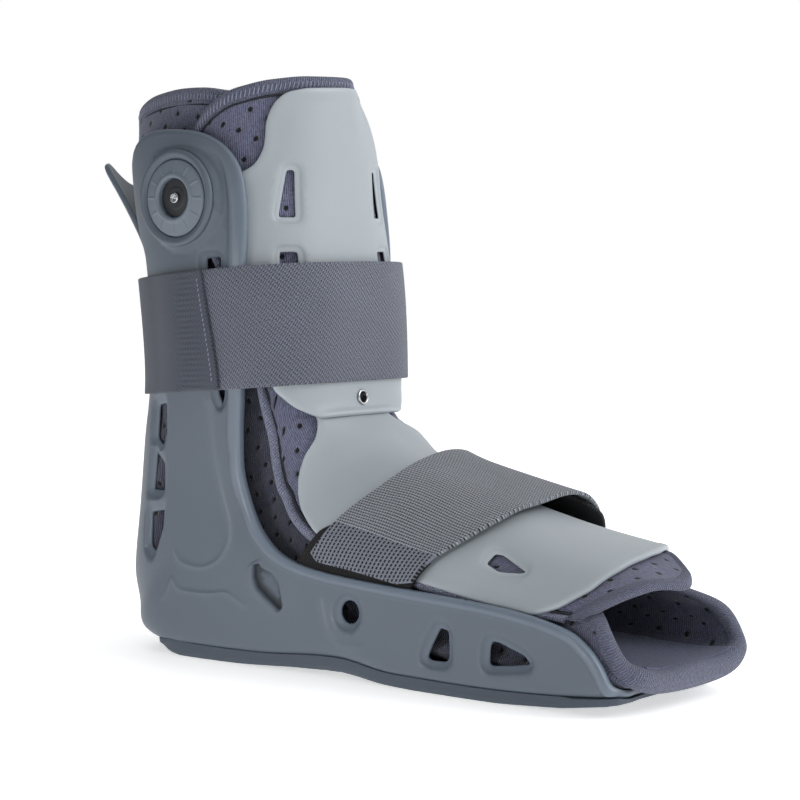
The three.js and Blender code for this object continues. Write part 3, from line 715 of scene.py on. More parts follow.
def knit_finish(name, colour, pitch, hole_pitch=0.0, hole_width=0.0, shade=0.0):
    """Brushed knit: rows of small loops, flecked yarn, punched air holes where a hole pitch is given, and
    painted shade where the rim mark is low when a shade is given.
    """
    g = Graph(name, colour, 0.95, sheen_weight=0.25, sheen_roughness=0.5)
    flat = g.flat()
    along, around, _ = g.axes(flat)
    wander = g.noise(flat, 0.004, 2.0) * 0.0006
    rib = (around + wander).wave(pitch)
    loop = (along + wander).wave(pitch * 0.85)
    yarn = g.noise(flat, 0.0011, 2.0, 0.7)
    cloud = g.noise(flat, 0.018, 3.0)
    fleck = g.noise(flat, 0.0024, 1.0, 0.6)
    height = rib * 0.55 + loop * rib * 0.5 + yarn * 0.7
    tone = height * 0.75 + yarn * 0.9 + fleck * 0.5 + cloud * 0.14 - 0.4
    if hole_pitch:
        turn = math.radians(HOLE_TURN)
        cosine, sine = math.cos(turn) / hole_pitch, math.sin(turn) / hole_pitch
        x = (along * cosine + around * sine).fraction() - 0.5
        y = (around * cosine - along * sine).fraction() - 0.5
        away = (x * x + y * y) ** 0.5 * hole_pitch + (yarn - 0.5) * 0.0005
        solid = away.between(hole_width * 0.42, hole_width * 0.56)
        tone = tone * (solid * 0.98 + 0.02)
        dent = away.between(hole_width * 0.3, hole_width * 0.95)
        height = height * solid + dent * 2.6
    # Painted shade: darker where the rim mark is low, full tone where it is one
    if shade:
        tone = tone * (1 - shade + g.mark("rim") * shade)
    g.set("Base Color", g.shade(tone))
    g.bump(height, 0.00035)
    return g.material


def binding_finish(name, colour, pitch=0.001):
    """Overlocked edge tape: ribs across the tape, slightly slanted, with a fleck in the yarn."""
    g = Graph(name, colour, 0.95, sheen_weight=0.2, sheen_roughness=0.5)
    flat = g.flat()
    along, around, _ = g.axes(flat)
    wander = g.noise(flat, 0.0022, 2.0) * 0.0011
    rib = (along + around * 0.2 + wander).wave(pitch)
    strand = (around - along * 0.3 + wander).wave(pitch * 0.8)
    yarn = g.noise(flat, 0.0009, 2.0, 0.7)
    height = rib * 0.55 + strand * 0.3 + yarn * 0.75
    tuft = g.noise(flat, 0.0016, 1.0, 0.6)
    g.set("Base Color", g.shade(height * 0.85 + yarn * 0.75 + tuft * 0.45 - 0.38))
    g.bump(height + tuft * 0.5, 0.0008)
    return g.material


def webbing_finish(name, colour, rib, dot, slant, fleck, depth, contrast):
    """Woven webbing: ribs across the strap, broken into picks, with pale and dark yarns."""
    g = Graph(name, colour, 0.9, sheen_weight=0.15, sheen_roughness=0.5)
    flat = g.flat()
    along, around, _ = g.axes(flat)
    wander = g.noise(flat, 0.006, 2.0) * (rib * 0.25)
    warp = (along + around * slant + wander).wave(rib)
    row = ((along + around * slant + wander) / rib).floor()
    pick = (around + row * (dot * 0.5)).wave(dot)
    yarn = g.noise(flat, rib * 0.55, 1.0, 0.7)
    cloud = g.noise(flat, 0.03, 3.0)
    height = warp * 0.55 + pick * 0.45
    g.set("Base Color", g.shade((height - 0.5) * contrast + (yarn - 0.5) * fleck * 4 + cloud * 0.2 + 0.7))
    g.bump(height + yarn * 0.3, depth)
    return g.material


def mesh_finish(name, colour, pitch, width):
    """Tab mesh: raised knots round staggered dark holes."""
    g = Graph(name, colour, 0.85)
    along, around, _ = g.axes(g.flat())
    row = around / width
    x = ((along / pitch + row.floor() * 0.25).fraction() - 0.5).size()
    y = (row.fraction() - 0.5).size()
    solid = (x * 0.85).most(y * 1.3).between(0.2, 0.36)
    yarn = g.noise(g.flat(), 0.0008, 1.0)
    g.set("Base Color", g.shade((0.05 + solid * 1.2) * (0.75 + yarn * 0.5)))
    g.bump(solid + yarn * 0.2, 0.0006)
    return g.material


def hook_finish(name, colour):
    """Black hook tape: close rows of tiny hooks."""
    g = Graph(name, colour, 0.8)
    along, around, _ = g.axes(g.flat())
    tuft = along.wave(0.0012) * around.wave(0.0012)
    g.set("Base Color", g.shade(0.6 + tuft * 0.9))
    g.bump(tuft, 0.0004)
    return g.material


def metal_finish(name, colour):
    g = Graph(name, colour, 0.18, metallic=1.0)
    scuff = g.noise(g.place(), 0.0015, 3.0)
    g.set("Roughness", 0.12 + scuff * 0.16)
    return g.material


# Weaves of the straps: pitch of the ribs and of the picks, slant, fleck, depth and contrast
TWILL = (0.0010, 0.0012, 0.6, 0.15, 0.00015, 0.8)
WEAVE = (0.0013, 0.0015, 0.6, 0.35, 0.0003, 1.2)
WEBBING = (0.00145, 0.0013, 0.0, 0.3, 0.0005, 1.9)
# Pitch and width of the tab's holes
TAB_HOLES = (0.0018, 0.0021)
FINISHES = {}


def make_finishes(look):
    punched = look.knit_pitch, look.hole_pitch, look.hole_width
    FINISHES.update(
        shell=moulded_finish("slate moulded plastic", look.shell_colour, 0.42),
        dial=moulded_finish("slate dial plastic", look.dial_colour, 0.4),
        well=moulded_finish("dark valve well", linear("#2a2d32"), 0.5),
        sole=rubber_finish("dark sole rubber", look.sole_colour),
        plate=moulded_finish("pale moulded plastic", look.plate_colour, 0.4, 0.12, 0.0008, 0.00004),
        knit=knit_finish("punched liner knit", look.knit_colour, *punched),
        footbed=knit_finish("footbed knit", look.footbed_colour, look.knit_pitch),
        dark_knit=knit_finish("punched boot knit", look.boot_knit_colour, *punched, BOOT_SHADE),
        binding=binding_finish("ribbed edge tape", look.binding_colour),
        piping=binding_finish("ribbed piping", look.piping_colour, 0.0013),
        # The dark seam cord is a real seam whose near-black tone is painted shadow of its groove
        thread=rubber_finish("dark seam thread", linear("#22242c")),
        stitch=rubber_finish("pale stitch thread", look.stitch_colour),
        twill=webbing_finish("dark calf twill", look.twill_colour, *TWILL),
        weave=webbing_finish("grey calf weave", look.weave_colour, *WEAVE),
        webbing=webbing_finish("grey instep webbing", look.webbing_colour, *WEBBING),
        tab=mesh_finish("tab mesh", look.tab_colour, *TAB_HOLES),
        hook=hook_finish("black hook tape", look.hook_colour),
        chrome=metal_finish("bright nickel", (0.5, 0.51, 0.53)),
    )


def add_object(name, data):
    made = bpy.data.objects.new(name, data)
    bpy.context.scene.collection.objects.link(made)
    return made


def make_piece(name, bm, finish, stands_for=(), body="boot", flat=None, painted_light=None, sharp=None):
    """Turns a bmesh in millimetres into a finished piece that rides on a body of the part."""
    mesh = bpy.data.meshes.new(name)
    seeds = None
    if "seed" in bm.verts.layers.int:
        layer = bm.verts.layers.int["seed"]
        seeds = np.array([vert[layer] for vert in bm.verts])
    bm.to_mesh(mesh)
    bm.free()
    co = np.empty(len(mesh.vertices) * 3)
    mesh.vertices.foreach_get("co", co)
    co = (co.reshape(-1, 3) - (SOLE_CENTRE, 0, 0)) * MM
    mesh.vertices.foreach_set("co", co.ravel())
    if flat is not None:
        uv = mesh.uv_layers.get("flat") or mesh.uv_layers.new(name="flat")
        corner = np.empty(len(mesh.loops), int)
        mesh.loops.foreach_get("vertex_index", corner)
        uv.data.foreach_set("uv", (np.asarray(flat)[seeds][corner] * MM).astype(np.float32).ravel())
    # The rim attribute carries the piece's painted light: painted highlights and painted shade read by its
    # finish
    rim = np.zeros(len(mesh.vertices)) if painted_light is None else np.asarray(painted_light)[seeds]
    mesh.attributes.new("rim", "FLOAT", "POINT").data.foreach_set("value", rim.astype(np.float32))
    for extra in ("seed", "level"):
        if extra in mesh.attributes:
            mesh.attributes.remove(mesh.attributes[extra])
    mesh.shade_smooth()
    if sharp:
        mesh.set_sharp_from_angle(angle=math.radians(sharp))
    mesh.materials.append(FINISHES[finish])
    mesh.update()
    piece = add_object(name, mesh)
    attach(piece, body)
    if stands_for:
        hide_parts(*stands_for)
    return piece


# Back shell

# Side outline of the uprights and foot walls: X, Z
UPRIGHT_REAR = [(0.0, 151.0), (6.6, 160.0), (6.4, 174.0), (5.0, 182.0), (-1.6, 193.0)]
UPRIGHT_TOP = [
    (-4.6, 206.0), (-4.8, 221.0), (-1.0, 228.0), (7.8, 233.5), (18.0, 236.0), (32.0, 236.4), (46.0, 235.0),
    (55.5, 231.5),
]
UPRIGHT_FRONT = [
    (62.0, 226.0), (66.4, 218.0), (68.8, 206.0), (69.8, 192.0), (69.6, 178.0), (67.5, 150.0),
    (65.0, 120.0), (63.0, 104.0), (62.8, 87.0), (67.9, 71.6), (76.7, 58.9), (91.4, 49.7),
    (116.9, 45.2), (156.4, 42.8), (209.0, 39.6), (238.0, 34.3), (250.0, 27.5), (256.5, 20.0),
    (259.5, 14.0),
]
# Plan outline of the floor's near front corner, X, Y, and back outline of the rear finger, Y, Z
FLOOR_FRONT = [(262.5, -46.5), (263.5, -43.0), (262.5, -37.0), (260.0, -28.0), (259.0, -15.0), (259.0, 0.0)]
FINGER = [
    (0.0, 211.0), (-8.0, 211.5), (-13.0, 213.5), (-17.0, 217.5), (-19.8, 221.6), (-22.2, 222.6),
    (-24.2, 220.2), (-24.9, 215.5), (-24.6, 200.0), (-24.5, 176.0), (-24.5, 158.0), (-25.5, 151.8),
]
FINGER_TOP, FINGER_LEAN, LEAN_START = 227.0, 23.0, 180.0
# First and last station of the shell, its widest angle from the sole and that of the floor's front
SHELL_SPAN, FLOOR_WIDEST = (0.55, 15.98, 128.0), 70.0
# Width of the raised border along the foot and along the uprights
BORDER_FOOT, BORDER_UPRIGHT = 3.4, 6.4
HEEL_DROP, FLOOR_DROP = 1.6, 2.0
# The far upright's front edge lies further forward and the far wall ends shorter at the toes
FAR_FORWARD, FAR_SHORT = 3.0, 8.0

# Windows through the shell on both sides: X, Z
SHELL_WINDOWS = [
    [(176.3, 28.8), (181.2, 27.8), (181.8, 16.6), (180.1, 14.0), (172.3, 13.8), (169.0, 15.0), (171.6, 20.7)],
    [(203.3, 26.0), (206.5, 25.9), (219.6, 21.7), (223.4, 17.9), (215.3, 16.4), (203.0, 15.0), (201.6, 16.2),
     (202.0, 23.3)],
    [(8.0, 113.4), (16.1, 115.0), (16.3, 100.4), (13.2, 94.2), (7.2, 97.8)],
    [(6.8, 92.2), (14.2, 87.6), (14.4, 74.0), (3.6, 74.0)],
    [(2.6, 64.2), (14.4, 66.3), (13.9, 58.5), (10.3, 49.8), (7.5, 45.3), (2.8, 48.7)],
    [(49.0, 180.0), (57.8, 181.0), (57.7, 172.0), (54.6, 119.6), (52.7, 114.0), (50.3, 119.8)],
]
VENT = (126.6, 30.0, 5.4)
# Raised lines on both sides: X, Z
SHELL_LINES = [
    [(45.2, 117.7), (46.4, 106.4), (47.7, 90.6), (52.2, 74.8), (56.4, 63.3), (56.5, 54.4), (50.4, 45.7),
     (40.0, 42.0), (28.3, 43.4), (24.1, 47.7)],
    [(17.2, 25.7), (20.2, 31.3), (22.7, 35.6), (25.6, 31.6), (33.2, 30.4), (44.7, 30.6), (55.3, 32.0),
     (60.9, 30.2), (67.9, 27.1)],
    [(111.0, 34.0), (112.7, 28.4), (114.3, 22.3), (117.0, 19.1), (123.4, 15.6), (134.2, 16.1)],
]
POCKET = [
    (72.0, 45.7), (75.0, 46.8), (76.6, 44.7), (83.2, 42.9), (87.0, 39.0), (89.3, 28.3), (87.8, 26.7),
    (79.5, 32.0), (74.0, 36.0), (72.0, 40.5),
]
# The pocket's deep wall slants down to the toes; its floor rises from there to the surface. The last value is
# the strength of the painted shade on that wall
POCKET_DEPTH, POCKET_WALL, POCKET_RUN, POCKET_SHADE = 2.7, 84.0, 8.5, 2.4
# Flat seat of the air valve on the near upright
VALVE_X, VALVE_Z, VALVE_SEAT, SEAT_RADIUS = 36.0, 206.4, -55.7, 21.6
# Rows of points beside the raised lines, the pocket, the windows, the outline and the valve's seat
LINE_ROWS, POCKET_ROWS = (-1.4, -0.7, 0, 0.7, 1.4), (-3.0, -1.8, -1.0, -0.3, 0.15, 0.6, 1.4)
WINDOW_ROWS, BORDER_ROWS = (1.7, 2.5, 3.3), (3.05, 3.55, 4.05, 6.05, 6.55, 7.05)
SEAT_ROWS = (20.6, 21.7, 22.6, 23.6)


def floor_drop(t):
    """How much lower the shell's floor lies under the heel and the ball than in the waist."""
    return HEEL_DROP * ramp(t, 8.4, 9.6) * ramp(t, 11.8, 10.8) + FLOOR_DROP * ramp(t, 12, 13)


def shell_place(t, degrees):
    floor = SHELL_BACK + floor_drop(t)
    point = form_point(t, degrees, SHELL_OUTER, SHELL_OUTER, floor, shell=True)
    rear = ramp(180 - np.abs(degrees), 50, 32)
    rise = np.maximum(0, point[..., 2] - LEAN_START) / (FINGER_TOP - LEAN_START)
    point[..., 0] -= FINGER_LEAN * rear * rise**1.25
    return point


def both_sides(loops):
    return [loop * (1, side) for loop in loops for side in (NEAR, FAR)]


def circle(x, z, radius, count=40):
    turn = np.linspace(0, math.tau, count, endpoint=False)
    return np.stack([x + radius * np.cos(turn), z + radius * np.sin(turn)], 1)


def beside(path, distance):
    """A path moved sideways."""
    return path + distance * left_of(path, closed=False)


def inset(loop, distance):
    loop = turned_left(loop)
    return loop + distance * left_of(loop)


def make_back_shell(look):
    layer = Layer(shell_place, *SHELL_SPAN, back=True)
    finger = layer.find(smooth_path(FINGER, 2.0), END_VIEW)
    wall = smooth_path(UPRIGHT_REAR + UPRIGHT_TOP + UPRIGHT_FRONT, 2.0)
    floor = smooth_path(FLOOR_FRONT, 2.0)

    def half_outline():
        front = layer.find(floor, PLAN_VIEW, FLOOR_WIDEST)
        return np.vstack([finger, layer.find(wall, SIDE_VIEW), front])

    near = half_outline()
    x, z = wall.T
    wall[:, 0] += FAR_FORWARD * ramp(x, 50, 62) * ramp(z, 120, 150) - FAR_SHORT * ramp(x, 222, 246)
    floor[:, 0] -= FAR_SHORT * ramp(-floor[:, 1], 12, 40)
    far = half_outline()
    outline = resample(soften(np.vstack([near, far[::-1] * (1, -1)]), 1.6), 1.5)
    found = [layer.find(resample(window, 1.0), SIDE_VIEW) for window in SHELL_WINDOWS]
    near_windows = [resample(soften(window, 1.0), 0.9) for window in found]
    near_windows.append(layer.find(circle(*VENT), SIDE_VIEW))
    windows = both_sides(near_windows)
    lines = [layer.find(smooth_path(line, 1.2), SIDE_VIEW) for line in SHELL_LINES]
    pocket = soften(layer.find(resample(POCKET, 1.0), SIDE_VIEW), 0.8)
    seat = [layer.find(circle(VALVE_X, VALVE_Z, radius, 90), SIDE_VIEW) for radius in SEAT_ROWS]
    beside_lines = [beside(line, shift) for line in lines for shift in LINE_ROWS]
    pocket_rows = [resample(inset(pocket, d), 0.8) for d in POCKET_ROWS]
    window_rows = [resample(inset(window, -d), 1.2) for window in near_windows for d in WINDOW_ROWS]
    border_rows = [inset(outline, d) for d in BORDER_ROWS]
    guides = both_sides(beside_lines + pocket_rows + window_rows) + seat + border_rows
    bm = flat_sheet(outline, windows, 2.0, (0.5, 1.2, 2.2), guides)
    flat = flat_places(bm)
    base, normal = layer.at(flat)
    folded = np.abs(flat) * (0, 1) + flat * (1, 0)
    to_edge = distance_to(resample(outline, 0.4), flat)
    to_window = distance_to(np.concatenate([resample(w, 0.4) for w in near_windows]), folded)
    to_line = distance_to(np.concatenate([resample(line, 0.4, closed=False) for line in lines]), folded)
    # Raised border along the uprights' fronts, narrower along the foot, fading to their tops and rears
    x, y, z = base.T
    width = lerp(BORDER_FOOT, BORDER_UPRIGHT, ramp(z, 60, 110))
    on_wall = ramp(np.abs(normal[:, 1]), 0.35, 0.7) * ramp(np.abs(y), 27, 31)
    on_front = ramp(z, 234, 206) * (1 - ramp(z, 130, 150) * ramp(x, 36, 16))
    border = (1 - ramp(to_edge, width - 0.3, width + 0.6)) * on_wall * on_front
    lift = look.border_lift / MM * border
    lift += look.line_lift / MM * (1 - ramp(to_line, 0.1, 1.7))
    lift -= look.window_dish / MM * (1 - ramp(to_window, 1.6, 3.4))
    edge = np.minimum(to_edge, to_window)
    lift -= 0.6 * (1 - ramp(edge, 0, 1.2))
    # Pocket: deepest along its rear and lower edges, flush at its front
    held = inside(pocket, folded)
    to_pocket = distance_to(pocket, folded) * np.where(held, 1, -1)
    slope = np.clip((0.75 * x + 0.66 * z - POCKET_WALL) / POCKET_RUN, 0, 1)
    lift -= POCKET_DEPTH * ramp(to_pocket, -0.3, 0.6) * (1 - slope)
    lift += 0.6 * ramp(to_pocket, -3.2, -1.2) * (1 - ramp(to_pocket, -1.0, -0.2)) * (1 - slope)
    outer = base + normal * lift[:, None]
    from_valve = np.hypot(x - VALVE_X, z - VALVE_Z)
    on_seat = (1 - ramp(from_valve, SEAT_RADIUS, SEAT_RADIUS + 1.6)) * (y < 0)
    outer[:, 1] = lerp(outer[:, 1], VALVE_SEAT, on_seat)
    inner = base - normal * SHELL_THICK
    raise_wall(bm, outer, inner, round_rim(0.5))
    # Painted highlights along the outline, the windows' edges, the raised lines and the raised border
    painted_light = 0.7 * np.exp(-((edge / 1.3) ** 2)) + 0.2 * np.exp(-((to_line / 1.5) ** 2)) + 1.25 * border
    # Painted shade along the pocket's deep wall
    painted_light -= POCKET_SHADE * ramp(to_pocket, -0.3, 0.3) * ramp(to_pocket, 2.8, 1.0) * (1 - slope)
    make_piece("back_shell_moulding", bm, "shell", ["back_shell"], flat=flat, painted_light=painted_light)


# Outsole: underside height by length along the foot
UNDERSIDE = [
    (-6, 4.0), (8, 2.0), (24, 0.0), (60, 0.2), (90, 1.8), (115, 2.0), (140, 0.6), (160, 0.0),
    (205, 0.0), (236, 1.6), (256, 4.2), (270, 7.2),
]
OUTSOLE_MIDDLE, OUTSOLE_EDGE, OUTSOLE_LEAST = 7.0, 4.4, 2.0
OUTSOLE_START, OUTSOLE_ROUND, OUTSOLE_HALF = 9.15, 0.45, 41.0
# Rows of the outsole's edge: share of the way up, distance outwards
OUTSOLE_RIM = [(0.1, 0.6), (0.3, 0.9), (0.7, 0.9), (0.8, 1.1), (0.9, 1.0)]
TOE_PLAN = [(-48.5, 260.0), (-46.0, 262.0), (-43.0, 262.5), (-36.0, 260.5), (-28.0, 258.5), (0.0, 257.5)]


def make_outsole(look):
    def place(i, j):
        degrees = lerp(180 - OUTSOLE_HALF, 180 + OUTSOLE_HALF, j)
        rough = form_point(14.8, degrees, SHELL_OUTER, SHELL_OUTER, SHELL_BACK, shell=True)
        short = FAR_SHORT * ramp(rough[..., 1], 12, 40)
        end = station_at_length(read(TOE_PLAN, -np.abs(rough[..., 1])) - short)
        t = lerp(OUTSOLE_START + OUTSOLE_ROUND * np.abs(2 * j - 1) ** 3, end, i)
        floor = SHELL_BACK + floor_drop(t) + 0.3
        top = form_point(t, degrees, SHELL_OUTER, SHELL_OUTER, floor, shell=True)
        thick = lerp(OUTSOLE_MIDDLE, OUTSOLE_EDGE, (2 * j - 1) ** 2)
        ground = np.minimum(read(UNDERSIDE, top[..., 0]), top[..., 2] - OUTSOLE_LEAST)
        bottom = top.copy()
        bottom[..., 2] = np.maximum(ground, top[..., 2] - thick * lerp(0.4, 1.0, ramp(i, 0.0, 0.07)))
        # Tread: slanted bars between a plain border and a middle channel
        x, y = top[..., 0], np.abs(top[..., 1])
        bar = np.abs(((x + 0.35 * y) / look.tread_pitch * MM) % 1.0 - 0.5) * 2
        inside_border = ramp(40.0 - y, 0, 3.5) * ramp(x, 18, 24) * ramp(x, 256, 250)
        groove = np.maximum(1 - ramp(bar, 0.22, 0.42), 1 - ramp(y, 2.0, 3.6)) * inside_border
        bottom[..., 2] += np.minimum(look.tread_depth / MM, 0.45 * (top - bottom)[..., 2]) * groove
        return bottom, top

    bm, flat = grid_wall(260, 72, place, OUTSOLE_RIM)
    make_piece("outsole_tread", bm, "sole", ["outsole"], flat=flat)


def middle_column(grid):
    return grid[:, [grid.shape[1] // 2]]


def unroll(points):
    """Flat places of a grid of points: along each column, and around each row from its middle."""
    around = run_of(points, 1)
    return np.stack([run_of(points), around - middle_column(around)], -1)


def share_grid(rows, columns):
    """Shares from 0 to 1 along and around a grid."""
    return np.meshgrid(np.linspace(0, 1, rows + 1), np.linspace(0, 1, columns + 1), indexing="ij")


def grid_wall(rows, columns, place, rim, lay=unroll):
    """A closed wall from a grid; place gives its outer and inner points for shares along and around."""
    bm = grid_sheet(rows, columns)
    index = np.rint(flat_places(bm) * (rows, columns)).astype(int)
    outer, inner = place(*share_grid(rows, columns))
    pick = lambda grid: grid[index[:, 0], index[:, 1]]
    raise_wall(bm, pick(outer), pick(inner), rim)
    return bm, pick(lay(outer))


# Liner boot: half angle left open down the front, top edge and toe edge by angle
LINER_OPEN = [(0, 48), (3, 44), (6, 42), (10, 46), (14, 56), (16, 60)]
COLLAR_STATION = [(48, 0.64), (71, 0.6), (86, 0.54), (99, 0.53), (120, 0.62), (134, 0.73), (180, 0.98)]
TOE_EDGE = [
    (48, 224), (56, 234), (60, 239), (66, 244), (72, 247.5), (82, 252.5), (90, 256), (95, 258.5),
    (100, 260.5), (110, 262.5), (120, 264), (135, 265.5), (180, 266.5),
]
LINER_EDGE, LINER_SIDE_PAD, TOE_FLARE, SOLE_FLARE, SOLE_FILL = 48.0, 7.4, 5.0, 4.2, 2.5
TOE_STATIONS = (13.9, 15.2)
BED_START, BED_END, BED_HALF = 9.2, 266.5, 48.0
# Distance of the footbed's top and underside from the skin, beside and below, each behind and at the toes
BED_TOP, BED_LOW = [(-0.6, 4.0), (-1.8, 2.6)], [(-0.2, 4.6), (-0.3, 4.0)]
# The toe edge lies further forward on the far side than on the near side
TOE_FAR, TOE_NEAR = 3.2, -2.5
# Way from the middle of the sole to the walls of the foot
HALF_ROUND = 38.0


def fold(degrees):
    """Angle from the dorsal line, alike on both sides."""
    return 180 - np.abs(degrees - 180)


def liner_grid(i, j):
    folded = fold(lerp(LINER_EDGE, 360 - LINER_EDGE, j))
    uneven = np.where(np.asarray(j) < 0.5, TOE_FAR, TOE_NEAR) * ramp(folded, 54, 78) * ramp(folded, 130, 102)
    toe = station_at_length(smooth_read(TOE_EDGE, folded, 5) + uneven)
    t = lerp(smooth_read(COLLAR_STATION, folded, 6), toe, i)
    opening = lerp(read(LINER_OPEN, t), LINER_EDGE, ramp(i, 0.9, 1.0))
    return t, lerp(opening, 360 - opening, j)


def liner_place(i, j):
    t, degrees = liner_grid(i, j)
    folded = fold(degrees)
    toe = ramp(t, *TOE_STATIONS)
    pad = LINER_SIDE_PAD * lerp(ramp(folded, 99, 118), ramp(folded, 64, 84), toe) * ramp(t, 0.7, 1.8)
    puff = 0.35 * np.sin(t * 4.1 + degrees * 0.07) + 0.25 * np.sin(t * 9.3 - degrees * 0.11)
    distances = LINER_THICK + puff, LINER_THICK + pad + puff, LINER_SOLE + SOLE_FILL * ramp(t, 13, 14.5)
    padded, shelled = [form_point(t, degrees, *distances, shell=shell) for shell in (False, True)]
    flare = ramp(folded, 64, 84) * toe
    inner = form_point(t, degrees, 0.0, TOE_FLARE * flare, SOLE_FLARE * flare)
    return lerp(padded, shelled, toe[..., None]), inner


def wrap_round(points):
    """Height, way round from the middle of the back, and length of the liner's grid points.

    In the foot the way round gives way to the length, which lies flat on its upright walls.
    """
    length = points[..., 0]
    around = run_of(points[..., :2], 1)
    around = np.abs(around - middle_column(around)) + middle_column(length)
    around = lerp(around, length + HALF_ROUND, ramp(length, 110, 170))
    return np.stack([points[..., 2], around, length], -1)


def make_liner(look):
    bm, places = grid_wall(150, 150, liner_place, round_rim(0.8), wrap_round)
    height, around, along = places.T
    flat = np.stack([height, around], -1)
    # Painted light of the liner boot: full tone towards the collar and the toes, painted shade deeper inside
    light = np.maximum(ramp(height, 196, 232), 0.6 * ramp(along, 222, 246))
    stands_for = ["liner_boot"]
    liner = make_piece("liner_boot_knit", bm, "dark_knit", stands_for, flat=flat, painted_light=light)

    def bed(i, j):
        t = lerp(BED_START, station_at_length(BED_END), i)
        degrees, toe = lerp(180 - BED_HALF, 180 + BED_HALF, j), ramp(t, *TOE_STATIONS)
        top, low = [[lerp(*ends, toe) for ends in face] for face in (BED_TOP, BED_LOW)]
        return form_point(t, degrees, 0.0, *top), form_point(t, degrees, 0.0, *low)

    bm, flat = grid_wall(110, 50, bed, round_rim(0.5))
    make_piece("footbed_pad", bm, "footbed", flat=flat)


# Liner tongue: half angle by station, top edge by share of the half angle, front edge from near to far
TONGUE_HALF = [
    (0, 97), (1, 97), (2, 92), (3, 81), (3.8, 71), (4.3, 67.5), (5.2, 63.5), (6.4, 61), (7.8, 59.2),
    (9.2, 61), (10.3, 67.5), (10.9, 73), (12, 77.5), (13, 79.5), (14.5, 80), (16, 77),
]
TONGUE_TOP = [(0, 0.32), (0.28, 0.34), (0.5, 0.42), (0.71, 0.57), (0.86, 0.83), (0.93, 1.08), (1, 1.35)]
TONGUE_FRONT = [
    (-1, 240), (-0.89, 246), (-0.78, 251.5), (-0.65, 257), (-0.52, 262), (-0.36, 266.5), (-0.2, 270),
    (-0.1, 270), (0.0, 266.5), (0.1, 259), (0.2, 249), (0.45, 233), (0.77, 220), (1, 214),
]
TIP_DROOP, FAR_DIP = 3.2, 0.22


def tongue_grid(i, j):
    share = lerp(-1, 1, j)
    top = smooth_read(TONGUE_TOP, np.abs(share), 0.05) + FAR_DIP * ramp(share, 0.05, 0.5)
    t = lerp(top, station_at_length(smooth_read(TONGUE_FRONT, share, 0.06)), i)
    return t, share * smooth_read(TONGUE_HALF, t, 0.35)


def tip_droop(t, share):
    """How far the tongue's front tip hangs down."""
    front = ramp(station(t)[..., PLANTAR_X], 246, 266)
    return TIP_DROOP * front * ramp(share, -0.5, -0.12) * ramp(share, 0.75, 0.4)


def tongue_place(i, j):
    t, degrees = tongue_grid(i, j)
    puff = 0.3 * np.sin(t * 5.3 + degrees * 0.09) + 0.2 * np.sin(t * 10.7 - degrees * 0.13)
    thin = ramp(np.abs(2 * j - 1), 1.0, 0.9)
    far_puff = 2.2 * ramp(degrees, 18, 40) * ramp(t, 4.0, 5.0) * ramp(t, 9.0, 7.5)
    droop = tip_droop(t, 2 * j - 1)
    outer = form_point(t, degrees, TONGUE_OUTER + far_puff + puff * 0.6 - 1.4 * (1 - thin) - droop)
    return outer, form_point(t, degrees, TONGUE_INNER - droop)


def make_tongue(look):
    bm, flat = grid_wall(210, 110, tongue_place, round_rim(0.8))
    tongue = make_piece("liner_tongue_knit", bm, "knit", ["liner_tongue"], flat=flat)


def edge_frames(grid, ends, inner_ends, offset, shift):
    """Middle line of a bead on a sewn edge, with its outward and upward directions."""
    rim = form_point(*grid(*ends), offset)
    out = unit(rim - form_point(*grid(*inner_ends), offset))
    up = unit(form_point(*grid(*ends), offset + 1) - rim)
    out = unit(out - up * (out * up).sum(-1, keepdims=True))
    return rim + out * shift, out, up


def soft_rows(rows, reach):
    """Rows of points averaged along their path, with both ends kept."""
    weight = np.hanning(2 * reach + 3)[1:-1]
    before, after = 2 * rows[0] - rows[reach:0:-1], 2 * rows[-1] - rows[-2 : -reach - 2 : -1]
    long = np.vstack([before, rows, after])
    return np.stack([np.convolve(long[:, k], weight / weight.sum(), "valid") for k in range(3)], 1)


def seam_shadow_line(name, frames, distance, height, width=0.45):
    """A sunken seam beside a bead, drawn as a near-black cord that paints the shadow in its groove."""
    middle, out, up = frames
    bead = oval(width, width, width, 2.0, 8)
    make_piece(name, sweep(middle - out * distance + up * height, out, up, bead), "thread")


def stitch_row(name, frames, reach, height, pitch, slant):
    """Slanted stitches laid over a bead, each a short bent thread."""
    middle, out, up = frames
    run = run_of(middle)
    bm = bmesh.new()
    share = np.linspace(-1, 1, 5)
    for start in np.arange(pitch, run[-1] - slant - pitch, pitch):
        at = start + slant * (share + 1) / 2
        here, aside, above = [read_path(at, run, rows) for rows in (middle, out, up)]
        arch = height * np.sqrt(np.maximum(0, 1 - 0.8 * share**2))
        path = here + aside * (share * reach[0] + reach[1])[:, None] + above * arch[:, None]
        along = unit(np.gradient(path, axis=0))
        across = unit(np.cross(along, above))
        rings = []
        for k in range(len(share)):
            thick = STITCH_RADIUS * (0.5 if k in (0, len(share) - 1) else 1.0)
            turn = np.linspace(0, math.tau, STITCH_SIDES, endpoint=False)
            lift = np.cross(across[k], along[k])
            rings.append([
                bm.verts.new(path[k] + thick * (across[k] * math.cos(a) + lift * math.sin(a))) for a in turn
            ])
        for ring, after in zip(rings, rings[1:]):
            for k in range(STITCH_SIDES):
                beyond = (k + 1) % STITCH_SIDES
                bm.faces.new((ring[k], ring[beyond], after[beyond], after[k]))
        bm.faces.new(rings[0])
        bm.faces.new(rings[-1])
    bmesh.ops.recalc_face_normals(bm, faces=bm.faces)
    make_piece(name, bm, "stitch")


